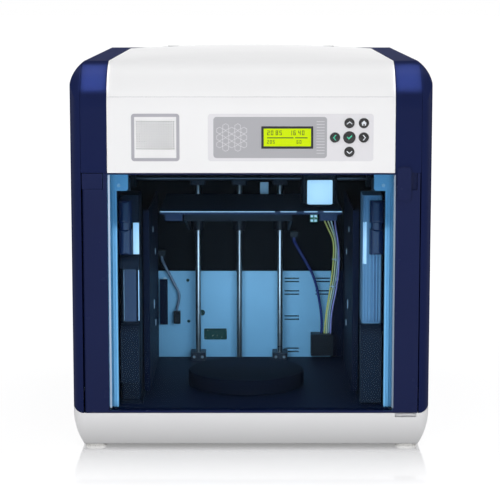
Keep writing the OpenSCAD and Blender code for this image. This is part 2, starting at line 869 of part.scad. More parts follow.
// Crowned lid with skirts along its sides and two pairs of hinge ears
module lid() {
    side = rail_x - seam;
    ear_in = knuckle_w / 2 + loose;
    rear = back_y - lid_back;
    color(white) difference() {
        union() {
            intersection() {
                union() {
                    difference() {
                        lid_envelope(0);
                        lid_envelope(wall);
                    }
                    intersection() {
                        difference() {
                            lid_envelope(0);
                            lid_envelope(flange);
                        }
                        mirrored() block([side - wall, front_y - cut, 0],
                            [side + cut, back_y, lid_top + cut]);
                    }
                }
                block([-half_w, front_y - cut, lid_seam], [half_w, rear, lid_top + cut]);
            }
            for (hx = [-lid_hinge_x, lid_hinge_x], s = [-1, 1])
                translate([hx + s * (ear_in + ear_w / 2) - ear_w / 2, 0, 0]) along_x(0, ear_w) {
                    translate([lid_axis_y, lid_axis_z]) circle(knuckle_r);
                    translate([lid_axis_y - 4 * knuckle_r, lid_axis_z - knuckle_r])
                        square([4 * knuckle_r, knuckle_r + lid_crown / 3]);
                }
        }
        for (hx = [-lid_hinge_x, lid_hinge_x]) {
            block([hx - ear_in, lid_axis_y - knuckle_r - 2, lid_axis_z - 2 * knuckle_r],
                [hx + ear_in, back_y, lid_top + cut]);
            bar_x(lid_axis_y, lid_axis_z, pin_r + run_gap,
                hx - ear_in - ear_w - cut, hx + ear_in + ear_w + cut);
        }
    }
}

// Fixed knuckles with their pins, standing on the gutter of the rear cover
module lid_hinges() {
    pin_half = knuckle_w / 2 + loose + ear_w;
    color(steel) for (hx = [-lid_hinge_x, lid_hinge_x]) {
        bar_x(lid_axis_y, lid_axis_z, pin_r, hx - pin_half, hx + pin_half);
        translate([hx, 0, 0]) along_x(-knuckle_w / 2, knuckle_w / 2) {
            translate([lid_axis_y, lid_axis_z]) circle(knuckle_r);
            translate([lid_axis_y - knuckle_r, gutter_z]) square([2 * knuckle_r, lid_axis_z - gutter_z]);
        }
    }
}

// Door

// The window's opening, grown by the overlap at its sides and at its top and bottom
module window_rect(side, end) {
    rounded_rect([-rail_x - side, door_low + door_sill - end],
        [rail_x + side, door_high - door_head + end], 1);
}

// Plan of the door: its hinge edge is round about the hinge axis
module door_plan() {
    translate([hinge_x, hinge_y]) circle(hinge_inset);
    translate([hinge_x, front_y]) square([door_half - hinge_x, door_t]);
}

// Door frame: thin rails, two stiles, window rabbet, hinge notch and finger recess
module door_frame() {
    color(navy) difference() {
        intersection() {
            along_y(front_y, front_y + door_t) rounded_rect([-door_half, door_low],
                [door_half, door_high], 0.8);
            along_z(door_low, door_high) door_plan();
        }
        along_y(front_y - cut, front_y + door_t + cut) window_rect(0, 0);
        along_y(front_y + window_set, front_y + door_t + cut)
            window_rect(rabbet + run_gap, rail_lap + run_gap);
        block([-door_half - cut, front_y - cut, hinge_notch_z],
            [hinge_block_x + 2 * seam, front_y + door_t + cut, door_top]);
        bar_z(hinge_x, hinge_y, pin_r + run_gap, door_low - cut, door_low + pin_len + 2);
        bar_z(hinge_x, hinge_y, pin_r + run_gap, hinge_notch_z - pin_len - 2, hinge_notch_z + cut);
        along_y(front_y - cut, front_y + recess_depth)
            rounded_rect([handle_x + handle_w, door_high - recess_h],
                [handle_x + handle_w + recess_w, door_top + recess_w], 2);
    }
}

module door_window() {
    color(tint) along_y(front_y + window_set, front_y + window_set + window_t)
        window_rect(rabbet, rail_lap);
}

// Raised pull tab that overlaps the rail above the door
module door_handle() {
    step = handle_proud / 3;
    low = [handle_x, handle_z];
    high = [handle_x + handle_w, door_top + handle_over];
    color(navy) {
        along_y(front_y - handle_proud, front_y - step) rounded_rect(low + [1, 1], high - [1, 1], 4);
        along_y(front_y - handle_proud + step, front_y - step) rounded_rect(low, high, 5);
        along_y(front_y - 2 * step, front_y) rounded_rect(low, [high.x, door_high], 5);
    }
}

// Upper hinge block with its pin and the tongue to the front post, and the lower pin in the base
module door_hinges() {
    block_low = hinge_notch_z + seam;
    color(black) {
        bar_z(hinge_x, hinge_y, pin_r, hinge_notch_z - pin_len, block_low + 1);
        deep_block([-door_half, 0, block_low], [hinge_block_x, door_t, block_low + hinge_block_h]);
        deep_block([-plate_out - post_w, door_t - 1, block_low + 2],
            [hinge_block_x, post_front + post_d, block_low + hinge_block_h - 2]);
        deep_block([-plate_out - post_w, post_front, block_low + 2],
            [-plate_out, post_front + post_d, block_low + hinge_block_h - 2]);
        bar_z(hinge_x, hinge_y, pin_r, base_top - pin_len, door_low + pin_len);
    }
}

// Chamber

module chamber_floor() {
    front = 2 * post_front;
    color(dark) difference() {
        union() {
            deep_block([-plate_out, post_front, under_floor], [plate_out, shell_d - 2 * wall, floor_z]);
            deep_block([seam - half_w + 3 * wall, front, under_floor],
                [half_w - 3 * wall - seam, shell_d - 2 * wall, floor_z]);
        }
        bar_z(screw_x, rod_y, boss_r + loose, under_floor - cut, floor_z + cut);
        bar_z(table_x, table_y, table_neck_r, under_floor - cut, floor_z + cut);
    }
}

// Pale sheet behind the turntable, with rows of slots, cable holes and a recess
module lower_back_wall() {
    slot_rows = [7, 56, 94, 113];
    color(grey) translate([0, front_y + chamber_d, 0]) along_y(0, sheet_t) difference() {
        translate([seam - inner_x, floor_z]) square([2 * (inner_x - seam), back_split - floor_z]);
        for (z = slot_rows, gap = [0, 5], x = z < slot_rows[2] ? [88] : [88, 42])
            translate([inner_x - x, floor_z + z + gap]) rounded_rect([0, 0], [22, 2], 0.99);
        for (hole = [[44, 116, 2.5], [65, 67, 4.5], [45, 54, 2.5]])
            translate([hole[0] - inner_x, floor_z + hole[1]]) circle(hole[2]);
        translate([68 - inner_x, floor_z + 26]) rounded_rect([0, 0], [34, 17], 2);
    }
}

module upper_back_wall() {
    half = plate_in - seam;
    wing = inner_x + sheet_t + seam;
    color(black) translate([0, front_y + chamber_d, 0]) along_y(0, sheet_t) {
        translate([-half, back_split + seam]) square([2 * half, shelf_z - back_split - seam]);
        for (x = [-half, wing])
            translate([x, floor_z]) square([half - wing, back_split + 2 * seam - floor_z]);
    }
}

// Side wall of the chamber with a folded front edge and cable holes
module inner_wall() {
    fold = 8;
    color(navy) {
        difference() {
            deep_block([inner_x, inner_front, floor_z], [inner_x + sheet_t, chamber_d, inner_top]);
            for (hole = [[200, 262, 2.5], [260, 222, 3], [260, 118, 3], [220, 152, 5]])
                bar_x(front_y + hole[0], hole[1], hole[2], inner_x - cut, inner_x + sheet_t + cut);
        }
        deep_block([inner_x, inner_front, floor_z], [inner_x + fold, inner_front + sheet_t, inner_top]);
    }
}
module left_inner_wall() { mirror([1, 0, 0]) inner_wall(); }
module right_inner_wall() { inner_wall(); }

// Grooved posts with corner plates, side plates that carry the gantry, and the cartridge's shelf
module chassis() {
    plate_top = shaft_z + 2 * pulley_r;
    corner_low = gantry_z - 6;
    groove = post_w / 8;
    color(steel) {
        mirrored() difference() {
            union() {
                difference() {
                    deep_block([post_in, post_front, floor_z],
                        [plate_out, post_front + post_d, chassis_top]);
                    for (k = [1, 3])
                        deep_block([post_in + k * groove, post_front - cut, floor_z - cut],
                            [post_in + (k + 1) * groove, post_front + groove, corner_low]);
                }
                translate([0, front_y, 0]) along_y(post_front, post_front + post_d)
                    rounded_rect([post_in - 15, corner_low], [post_in + 9, door_top + 6], 3);
                deep_block([post_in, chassis_back, floor_z], [plate_out, chassis_back + post_d, shelf_z]);
                deep_block([plate_in, post_front, inner_top],
                    [plate_out, chassis_back + post_d, plate_top]);
                bar_x(front_y + idler_depth, shaft_z, pulley_r, y_belt_x - loose, plate_out);
            }
            bar_x(shaft_y, shaft_z, rod_r + run_gap, plate_in - cut, plate_out + cut);
        }
        deep_block([-plate_out, chassis_back, shelf_z - sheet_t],
            [plate_out, shell_d - wall - loose, shelf_z]);
    }
}

// Scanner

// Column of a scanner tower, standing on the floor
module tower_column() {
    outer = tower_x + tower_w;
    translate([0, front_y, 0]) {
        along_z(floor_z, tower_top) rounded_rect([tower_x, tower_front], [outer, tower_back], 4);
        along_z(floor_z, floor_z + 4) rounded_rect([tower_x - 3, tower_front - 8],
            [outer + 1, tower_back + 6], 4);
    }
}

// A hood in front of a tower: upright sides and a round top
module hood(x0, x1, z0, z1, out) {
    translate([0, front_y, 0]) along_x(x0, x1) {
        translate([tower_front - out, z0]) square([out + 1, z1 - z0 - out]);
        intersection() {
            translate([tower_front, z1 - out]) circle(out);
            translate([tower_front - out, z1 - out - 1]) square([out + 1, out + 1]);
        }
    }
}

// Where the scanner's glass sits: middle, radius and edges of a camera cover, laser window edges
cover_r = 10;
cover_x = tower_x + tower_w - 7;
cover_low = tower_top - 78;
cover_high = tower_top - 6;
cover_waist = tower_top - 40;
window_low = floor_z + 110;
window_high = tower_top - 98;
optic_in = 3;

// Pocket for a camera cover in a tower's front face
module cover_pocket() {
    deep_block([cover_x - cover_r - run_gap, tower_front - 20, cover_low - run_gap],
        [cover_x + cover_r + run_gap, tower_front + optic_in, cover_high + run_gap]);
}

// Plan of the laser window on a tower's front face
module laser_rect(grow) {
    mid = tower_x + tower_w / 2;
    rounded_rect([tower_x + 5 - grow, window_low - grow], [mid + 8 + grow, window_high + grow], 2);
}

// Room of a camera cover's glass between two heights, with round upper and lower edges
module cover_room(r, z0, z1) {
    intersection() {
        bar_z(cover_x, front_y + tower_front, r, z0, z1);
        translate([0, front_y, 0]) along_x(cover_x - 2 * r, cover_x + 2 * r)
            rounded_rect([tower_front - r, z0], [tower_front + 2 * r, z1], r / 2);
        deep_block([cover_x - 2 * r, tower_front - 2 * r, z0],
            [cover_x + 2 * r, tower_front + optic_in, z1]);
    }
}

module left_scan_tower() {
    color(black) mirror([1, 0, 0]) difference() {
        union() {
            tower_column();
            hood(tower_x + 1, tower_x + tower_w - 1, window_high + 2, cover_low - 2, 12);
            hood(tower_x + 1, tower_x + tower_w - 1, floor_z + 30, window_low - 3, 16);
        }
        cover_pocket();
        translate([0, front_y + tower_front, 0]) along_y(-20, optic_in) laser_rect(run_gap);
    }
}

// The right tower has upright ribs and a tall leaning hood at its foot
module right_scan_tower() {
    ribs = 6;
    rib_step = tower_w / ribs;
    color(dark) difference() {
        union() {
            tower_column();
            for (k = [0:ribs - 1])
                bar_z(tower_x + (k + 0.5) * rib_step, front_y + tower_front, rib_step * 0.3,
                    window_low, tower_top - 4);
            hood(tower_x - 3, tower_x + tower_w - 1, floor_z + 4, window_low - 3, 20);
        }
        cover_pocket();
    }
}

// Camera covers of both towers and the left tower's laser window
module scan_optics() {
    color(tint) {
        mirrored() {
            cover_room(cover_r, cover_low, cover_waist - 4);
            cover_room(cover_r, cover_waist + 4, cover_high);
            cover_room(cover_r - 2, cover_waist - 14, cover_waist + 14);
        }
        mirror([1, 0, 0]) translate([0, front_y + tower_front, 0]) along_y(-1, optic_in) laser_rect(0);
    }
}

// Motion

clamp_h = 12;
clamp_w = 22;
journal_r = rod_r * 0.6;

// Upright rods of the bed and long rods of the gantry
module guide_rods() {
    color(chrome) {
        for (x = [rod_left, rod_right])
            bar_z(x, rod_y, rod_r, floor_z, rod_top);
        for (x = [-y_rod_x, y_rod_x])
            bar_y(x, gantry_z, rod_r, front_y + tower_front, front_y + chamber_d - 2);
    }
}

// A clamp on the back wall around an upright rod
module wall_clamp(x, z, r) {
    difference() {
        translate([0, front_y, 0]) along_z(z, z + clamp_h)
            rounded_rect([x - clamp_w / 2, rod_depth - clamp_w / 2], [x + clamp_w / 2, chamber_d], 3);
        bar_z(x, rod_y, r + run_gap / 2, z - cut, z + clamp_h + cut);
    }
}

// Clamps of the upright rods, the lead screw's top bearing and the end blocks of the gantry rods
module rod_clamps() {
    block_low = gantry_z - 9;
    block_high = shaft_z - pulley_r - belt_t - 0.8;
    block_in = y_rod_x - 11;
    color(grey) {
        for (x = [rod_left, rod_right], z = [floor_z, rod_top - clamp_h + 2])
            wall_clamp(x, z, rod_r);
        wall_clamp(screw_x, rod_top - clamp_h + 2, journal_r + run_gap / 2);
        mirrored() for (depth = [tower_front - 3, chamber_d - clamp_h])
            difference() {
                deep_block([block_in, depth, block_low], [plate_in, depth + clamp_h, block_high]);
                translate([0, front_y + depth, 0])
                    bar_y(y_rod_x, gantry_z, rod_r + run_gap / 2, -cut, clamp_h + cut);
            }
    }
}

motor_len = 34;
motor_shaft_r = 2.5;
motor_shaft_len = 16;
boss_r = 11;

// Motor of the bed's lead screw under the floor, and motor of the gantry's drive shaft outside the
// right plate
module drive_motors() {
    half = motor_w / 2;
    color(dark) {
        difference() {
            union() {
                block([screw_x - half, rod_y - half, under_floor - motor_len],
                    [screw_x + half, rod_y + half, under_floor]);
                bar_z(screw_x, rod_y, boss_r, under_floor - cut, floor_z);
            }
            bar_z(screw_x, rod_y, motor_shaft_r + run_gap, floor_z - motor_shaft_len, floor_z + cut);
        }
        difference() {
            block([plate_out, shaft_y - half, shaft_z - half],
                [plate_out + motor_len, shaft_y + half, shaft_z + half]);
            bar_x(shaft_y, shaft_z, motor_shaft_r + run_gap, plate_out - cut, plate_out + motor_shaft_len);
        }
    }
}

module lead_screw() {
    color(steel) {
        bar_z(screw_x, rod_y, motor_shaft_r, floor_z - motor_shaft_len + loose, floor_z + 2);
        bar_z(screw_x, rod_y, rod_r, floor_z + loose, rod_top - clamp_h + 2 - loose);
        bar_z(screw_x, rod_y, journal_r, rod_top - clamp_h, rod_top);
    }
}

// Shaft across the rear with a belt pulley near each end
module y_drive_shaft() {
    color(steel) {
        bar_x(shaft_y, shaft_z, rod_r, -plate_out, plate_out);
        bar_x(shaft_y, shaft_z, motor_shaft_r, plate_out - cut, plate_out + motor_shaft_len - loose);
        for (x = [y_belt_x, -y_belt_x - belt_w])
            bar_x(shaft_y, shaft_z, pulley_r, x, x + belt_w);
    }
}

// A belt's outline round two pulleys on a line
module belt_loop(a, b) {
    module stadium(r) {
        translate([a, -r]) square([b - a, 2 * r]);
        translate([a, 0]) circle(r);
        translate([b, 0]) circle(r);
    }
    difference() {
        stadium(pulley_r + run_gap + belt_t);
        stadium(pulley_r + run_gap);
    }
}

module y_belts() {
    color(black) mirrored() translate([0, front_y, shaft_z]) along_x(y_belt_x, y_belt_x + belt_w)
        belt_loop(idler_depth, shaft_depth);
}

module x_belt() {
    color(black) translate([0, gantry_y, 0]) along_z(x_belt_z, x_belt_z + belt_w)
        belt_loop(-x_pulley_x, x_pulley_x);
}

x_motor_z = x_belt_z + belt_w + 2;

// Motor pulley of the cross belt, with the motor's shaft
module x_pulley() {
    color(steel) {
        bar_z(-x_pulley_x, gantry_y, pulley_r, x_belt_z - loose, x_belt_z + belt_w + loose);
        bar_z(-x_pulley_x, gantry_y, motor_shaft_r, x_belt_z, x_motor_z + motor_shaft_len);
    }
}

module x_motor() {
    half = small_motor_w / 2;
    color(dark) difference() {
        translate([-x_pulley_x, gantry_y, 0]) along_z(x_motor_z, x_motor_z + 26)
            rounded_rect([-half, -half], [half, half], 3);
        bar_z(-x_pulley_x, gantry_y, motor_shaft_r + run_gap,
            x_motor_z - cut, x_motor_z + motor_shaft_len + loose);
    }
}

x_rod_sink = 8;

// Left and right sliders on the gantry rods, with belt tabs, motor posts and the cross belt's idler
module gantry_sliders() {
    top = gantry_z + slider_h / 2;
    belt_low = shaft_z - pulley_r - run_gap - belt_t;
    color(dark) {
        mirrored() difference() {
            union() {
                block([slider_in, gantry_y - slider_d / 2, gantry_z - slider_h / 2],
                    [slider_out, gantry_y + slider_d / 2, top]);
                block([slider_out - cut, gantry_y - slider_d / 4, belt_low - 3],
                    [y_belt_x + belt_w, gantry_y + slider_d / 4, belt_low - loose]);
            }
            bar_y(y_rod_x, gantry_z, rod_r + run_gap, gantry_y - slider_d, gantry_y + slider_d);
            for (s = [-1, 1])
                bar_x(gantry_y + s * x_rod_pitch / 2, gantry_z, x_rod_r + run_gap / 2,
                    slider_in - cut, slider_in + x_rod_sink + loose);
        }
        for (s = [-1, 1])
            bar_z(-x_pulley_x - 8, gantry_y + s * (slider_d / 2 - 4), 2.5, top - cut, x_motor_z);
        bar_z(x_pulley_x, gantry_y, pulley_r, top - cut, x_belt_z + belt_w + 1);
    }
}

module x_rods() {
    color(chrome) for (s = [-1, 1])
        bar_x(gantry_y + s * x_rod_pitch / 2, gantry_z, x_rod_r,
            -slider_in - x_rod_sink, slider_in + x_rod_sink);
}

// Print head on the cross rods: rounded housing with a cooling duct and side vents
module head_housing() {
    top = x_belt_z - loose * 2;
    mid = [head_x, gantry_y];
    half = [head_w / 2, head_d / 2];
    color(black) difference() {
        union() {
            along_z(head_low, top) rounded_rect(mid - half, mid + half, 5);
            translate([head_x, gantry_y - head_d / 2, 0]) along_x(-head_w / 4, head_w / 4)
                polygon([[1, head_low + 12], [-6, head_low + 8], [-6, head_low - 3], [1, head_low]]);
        }
        for (s = [-1, 1])
            bar_x(gantry_y + s * x_rod_pitch / 2, gantry_z, x_rod_r + run_gap,
                head_x - head_w, head_x + head_w);
        for (k = [0:4])
            block([head_x - head_w, gantry_y - 12 + k * 5, head_low + 6],
                [head_x - head_w / 2 + 3, gantry_y - 10 + k * 5, head_low + 20]);
    }
}

module hot_end() {
    tip = bed_z + nozzle_gap;
    color([0.80, 0.62, 0.25]) {
        block([head_x - 9, gantry_y - 7, tip + 3], [head_x + 9, gantry_y + 7, head_low]);
        translate([head_x, gantry_y, tip]) cylinder(r1 = 0.8, r2 = 3.6, h = 3);
    }
}

// Bed carriage: bushings and nut on the uprights, a back plate and two tapered arms with spacers
module bed_carriage() {
    left = rod_left - bush_r - 4;
    right = rod_right + bush_r + 4;
    arm_t = 3;
    arm_front = bed_front + 40;
    plate_d = rod_depth - bush_r - 3;
    color(black) difference() {
        union() {
            for (x = [rod_left, screw_x, rod_right])
                bar_z(x, rod_y, bush_r, carriage_low, arm_top);
            deep_block([left, plate_d, carriage_low + 14], [right, plate_d + 5, arm_top]);
            for (x = [left, right - arm_t])
                translate([0, front_y, 0]) along_x(x, x + arm_t) difference() {
                    polygon([[arm_front, arm_top], [arm_front, arm_top - 10],
                        [plate_d - 20, carriage_low + 3],
                        [plate_d + 4, carriage_low + 3], [plate_d + 4, arm_top]]);
                    for (k = [1:4])
                        translate([arm_front + 20 + k * 32, arm_top - 8 - k * 3]) circle(3 + k);
                }
            deep_block([left, arm_front, arm_top - 10], [right, arm_front + 8, arm_top]);
            for (x = [left + 4, right - 4], depth = [arm_front + 4, plate_d])
                bar_z(x, front_y + min(depth, bed_front + bed_d - 10), 4, arm_top - cut, bed_under);
            for (x = [left + 4, right - 4])
                deep_block([x - 4, bed_front + bed_d - 16, arm_top - 4],
                    [x + 4, bed_front + bed_d - 4, arm_top]);
        }
        for (x = [rod_left, screw_x, rod_right])
            bar_z(x, rod_y, rod_r + run_gap, carriage_low - cut, arm_top + cut);
    }
}

// Print bed with rounded corners and levelling blocks under its front edge
module bed_plate() {
    block_w = 23;
    block_h = 9;
    color(steel) {
        translate([0, front_y, 0]) along_z(bed_under, bed_z)
            rounded_rect([-bed_w / 2, bed_front], [bed_w / 2, bed_front + bed_d], 4);
        mirrored() deep_block([bed_w / 2 - 7 - block_w, bed_front + 3, bed_under - block_h],
            [bed_w / 2 - 7, bed_front + 15, bed_under + cut]);
    }
}

// Turntable

table_boss_h = 7;
table_neck_r = 10;

// Disc with a skirt and a hub on the spindle
module turntable_disc() {
    r = table_d / 2;
    hub_low = floor_z + table_boss_h + loose;
    color(black) translate([table_x, table_y, 0]) difference() {
        union() {
            rotate_extrude($fn = 128) polygon([
                [0, table_top - 4], [r - 4, table_top - 4], [r - 4, floor_z + 3], [r, floor_z + 3],
                [r, table_top - 1.5], [r - 1.5, table_top], [0, table_top]
            ]);
            bar_z(0, 0, 3 * spindle_r, hub_low, table_top - 3);
        }
        bar_z(0, 0, spindle_r + run_gap, hub_low - cut, table_top - 4);
    }
}

// Boss and spindle on the floor, with the geared motor below it
module turntable_base() {
    color(dark) translate([table_x, table_y, 0]) {
        bar_z(0, 0, 30, floor_z, floor_z + table_boss_h);
        bar_z(0, 0, spindle_r, floor_z, table_top - 4 - loose);
        bar_z(0, 0, table_neck_r - run_gap, under_floor - cut, floor_z + cut);
        bar_z(0, 0, 18, under_floor - 34, under_floor);
    }
}

// Wiring

module wire_harness() {
    color([0.80, 0.66, 0.20]) for (route = harness_wires)
        cable(route, wire_r);
    color([0.16, 0.20, 0.42]) {
        cable(bed_cable, cable_r);
        cable(left_cable, cable_r, side = -1);
    }
}

// A block on the back wall, from its distances to the nearest inner wall
module wall_block(near, far, deep, z0, z1) {
    deep_block([inner_x - far, chamber_d - deep, z0], [inner_x - near, chamber_d, z1]);
}

// Terminal block, wire header and clips on the back wall
module connector_block() {
    color(dark) {
        wall_block(16, 49, 23, 56, 88);
        wall_block(10, 34, 11, 264, 273);
        wall_block(68, 79, 10, 232, 240);
        mirror([1, 0, 0]) {
            wall_block(1, 11, 8, 204, 212);
            wall_block(23, 33, 10, 102, 120);
        }
    }
}

// Rear bay

module power_supply() {
    front = chassis_back + 30;
    color(steel) difference() {
        deep_block([-85, front, floor_z], [125, front + 100, floor_z + 46]);
        for (k = [0:11])
            deep_block([-65 + k * 15, front - cut, floor_z + 12],
                [-59 + k * 15, front + 3, floor_z + 34]);
    }
}

// Main circuit board behind the back wall, with spacers, heat sinks and sockets
module main_board() {
    board_d = chamber_d + sheet_t + 6;
    color(board_green) {
        translate([0, 0, floor_z]) {
            deep_block([-110, board_d, 20], [70, board_d + 1.6, 122]);
            for (x = [-104, 64], z = [26, 116])
                bar_y(x, z, 3, front_y + chamber_d + sheet_t, front_y + board_d + cut);
            for (k = [0:3])
                deep_block([-90 + k * 26, board_d + 1, 80], [-74 + k * 26, board_d + 12, 96]);
            deep_block([-60, board_d + 1, 42], [-30, board_d + 4, 72]);
            deep_block([30, board_d + 1, 30], [60, board_d + 14, 42]);
        }
    }
}

// Closed filament cartridge on the shelf
module filament_cartridge() {
    low = [-165, chassis_back + 14];
    high = [45, shell_d - lid_back - 18];
    color(white) translate([0, front_y, 0]) {
        along_z(shelf_z, shelf_z + 62) rounded_rect(low, high, 24);
        along_z(shelf_z + 62 - cut, shelf_z + 70) rounded_rect(low + [4, 4], high - [4, 4], 20);
        bar_y(high.x - 40, shelf_z + 30, 6, low.y - 10, low.y + 10);
    }
}

module rear_fan() {
    inner_y = back_y - wall - fan_t;
    color(black) translate([fan_x, 0, fan_z]) {
        along_y(inner_y, back_y - wall) difference() {
            rounded_rect([-fan_w / 2, -fan_w / 2], [fan_w / 2, fan_w / 2], 4);
            circle(fan_w * 0.47);
        }
        along_y(inner_y, inner_y + 2) {
            circle(fan_w * 0.2);
            for (a = [30, 150, 270])
                rotate(a) translate([0, -2]) square([fan_w * 0.48, 4]);
        }
        bar_y(0, 0, 1.5, inner_y, inner_y + fan_t - 3);
    }
}

// Hub with pitched blades, running on the fan's pin
module fan_rotor() {
    inner_y = back_y - wall - fan_t;
    blades = 7;
    blade_r = fan_w * 0.44;
    color(dark) translate([fan_x, 0, fan_z]) difference() {
        union() {
            bar_y(0, 0, fan_w * 0.2, inner_y + 2 + loose, inner_y + fan_t - 1);
            intersection() {
                bar_y(0, 0, blade_r, inner_y + 2 + loose, inner_y + fan_t - 1);
                for (k = [0:blades - 1])
                    rotate([0, k * 360 / blades, 0]) translate([0, inner_y + fan_t / 2 + 0.5, 0])
                        rotate([38, 0, 0]) translate([0, -0.75, -9]) cube([blade_r, 1.5, 18]);
            }
        }
        bar_y(0, 0, 1.5 + run_gap, inner_y, inner_y + fan_t - 2);
    }
}

switch_z = inlet_z + inlet_h - 16;
switch_axis_y = back_y - 5;
switch_tilt = 8;

// Power socket with three blades, and the well of the switch with its pivot
module power_inlet() {
    well = [16, 22];
    color(black) translate([inlet_x, 0, 0]) {
        difference() {
            along_y(back_y - inlet_d, back_y) rounded_rect([-inlet_w / 2, inlet_z],
                [inlet_w / 2, inlet_z + inlet_h], 2);
            along_y(back_y - 16, back_y + cut) rounded_rect([-12, inlet_z + 5], [12, inlet_z + 22], 3);
            along_y(back_y - 10, back_y + cut) translate([0, switch_z]) square(well, center = true);
        }
        for (pin = [[-7, 9], [7, 9], [0, 13]])
            block([pin[0] - 1, back_y - 17, inlet_z + pin[1] - 2],
                [pin[0] + 1, back_y - 4, inlet_z + pin[1] + 2]);
        bar_x(switch_axis_y, switch_z, 1.5, -well.x / 2 - 1, well.x / 2 + 1);
    }
}

// Rocker of the power switch, tilted to its off side
module power_switch() {
    half = 7.5;
    color(dark) translate([inlet_x, switch_axis_y, switch_z]) difference() {
        rotate([switch_tilt, 0, 0]) along_x(-half, half)
            polygon([[-3, -8], [-3, 8], [2, 9.5], [3.5, 9.5], [2.2, 0], [3.5, -9.5], [2, -9.5]]);
        bar_x(0, 0, 1.5 + run_gap, -half - cut, half + cut);
    }
}

base_tray();
feet();
left_side_panel();
right_side_panel();
left_rail();
right_rail();
rear_cover();
front_fascia();
control_panel();
lcd_bezel();
lcd_module();
keypad_board();
key_up();
key_home();
key_left();
key_ok();
key_right();
key_down();
grille_plate();
lid();
lid_hinges();
door_frame();
door_window();
door_handle();
door_hinges();
chamber_floor();
lower_back_wall();
upper_back_wall();
left_inner_wall();
right_inner_wall();
chassis();
left_scan_tower();
right_scan_tower();
scan_optics();
guide_rods();
rod_clamps();
drive_motors();
lead_screw();
y_drive_shaft();
y_belts();
wire_harness();
connector_block();
bed_carriage();
bed_plate();
gantry_sliders();
x_rods();
x_motor();
x_belt();
x_pulley();
head_housing();
hot_end();
turntable_disc();
turntable_base();
power_supply();
main_board();
filament_cartridge();
rear_fan();
fan_rotor();
power_inlet();
power_switch();
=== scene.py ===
"""Dresses an enclosed desktop three-d printer: finishes, fine parts, stage, light and camera."""

import functools
import math

import bmesh
import bpy
from bpy.props import FloatProperty, FloatVectorProperty, PointerProperty
from mathutils import Matrix, Vector


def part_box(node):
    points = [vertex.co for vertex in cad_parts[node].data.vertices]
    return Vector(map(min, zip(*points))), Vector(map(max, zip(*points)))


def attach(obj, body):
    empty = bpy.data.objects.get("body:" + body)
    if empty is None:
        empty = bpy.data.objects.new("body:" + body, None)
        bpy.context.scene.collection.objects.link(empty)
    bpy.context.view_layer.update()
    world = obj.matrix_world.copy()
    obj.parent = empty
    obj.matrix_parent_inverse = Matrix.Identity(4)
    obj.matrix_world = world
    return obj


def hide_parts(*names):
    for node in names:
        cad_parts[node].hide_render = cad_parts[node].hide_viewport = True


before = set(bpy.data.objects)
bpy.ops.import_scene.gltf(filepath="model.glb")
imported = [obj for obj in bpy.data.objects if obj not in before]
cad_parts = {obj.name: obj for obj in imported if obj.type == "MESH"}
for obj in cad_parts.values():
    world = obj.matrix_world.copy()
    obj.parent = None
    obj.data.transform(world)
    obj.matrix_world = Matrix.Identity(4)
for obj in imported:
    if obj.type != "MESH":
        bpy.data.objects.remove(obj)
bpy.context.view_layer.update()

bl_info = {
    "name": "Enclosed Printer Looks",
    "version": (1, 0, 0),
    "blender": (4, 5, 0),
    "location": "View3D > Sidebar > Printer",
    "description": "Finishes and fine parts of an enclosed desktop three-d printer",
    "category": "Object",
}

MM = 0.001
SENSOR_WIDTH = 36
SMOOTH_ANGLE = math.radians(35)
MERGE_GAP = 0.001 * MM
AHEAD = (0, -1, 0)
KEYS = ("key_up", "key_home", "key_left", "key_ok", "key_right", "key_down")


def seen_colour(red, green, blue):
    """A colour as it is seen on a screen, from 0 to 255, in the linear values that shaders take."""
    shares = [value / 255 for value in (red, green, blue)]
    return tuple(s / 12.92 if s <= 0.04045 else ((s + 0.055) / 1.055) ** 2.4 for s in shares)


def colour_property(name, words, seen):
    return FloatVectorProperty(name=name, description=words, subtype="COLOR", size=3, min=0, max=1,
                               default=seen_colour(*seen))


def length_property(name, words, value):
    return FloatProperty(name=name, description=words, default=value, min=0, unit="LENGTH")


class PrinterFinishes(bpy.types.PropertyGroup):
    """Colours of the printer."""

    navy: colour_property("Blue shell", "Side panels, rails, door and rear cover", (22, 31, 70))
    white: colour_property("White shell", "Base, fascia and lid", (242, 242, 243))
    panel_grey: colour_property("Panel film", "Ground of the control panel", (226, 225, 229))
    print_dark: colour_property("Dark print", "Dark field of the control panel", (172, 172, 177))
    print_pale: colour_property("Pale print", "Pale marks of the control panel", (226, 226, 229))
    frame_grey: colour_property("Grille frame", "Frame of the small grille", (176, 175, 183))
    lime: colour_property("Display", "Lit ground of the display", (188, 214, 2))
    ink: colour_property("Display marks", "Dark marks of the display", (92, 118, 8))
    teal: colour_property("Key marks", "Marks on the lit keys", (70, 205, 165))
    window: colour_property("Window tint", "Tint of one face of the door's window", (215, 236, 249))
    pale_sheet: colour_property("Pale sheet", "Lower back wall and posts", (147, 187, 208))
    dark_sheet: colour_property("Dark sheet", "Inner walls and floor", (8, 17, 40))
    # Colour of the painted highlights down the window's sides
    window_glint_colour: colour_property("Window edge", "Bright edges of the door's window", (176, 200, 226))
    wire_yellow: colour_property("Yellow wire", "First wire of the harness", (250, 226, 120))
    wire_straw: colour_property("Straw wire", "Second wire of the harness", (246, 234, 176))
    wire_pale: colour_property("Pale wire", "Third wire of the harness", (246, 246, 240))
    wire_violet: colour_property("Violet wire", "Fourth wire of the harness", (186, 166, 224))
    cable_blue: colour_property("Blue cable", "Cable of the bed", (30, 40, 104))
    cable_grey: colour_property("Grey cable", "Cable at the left wall", (108, 114, 128))


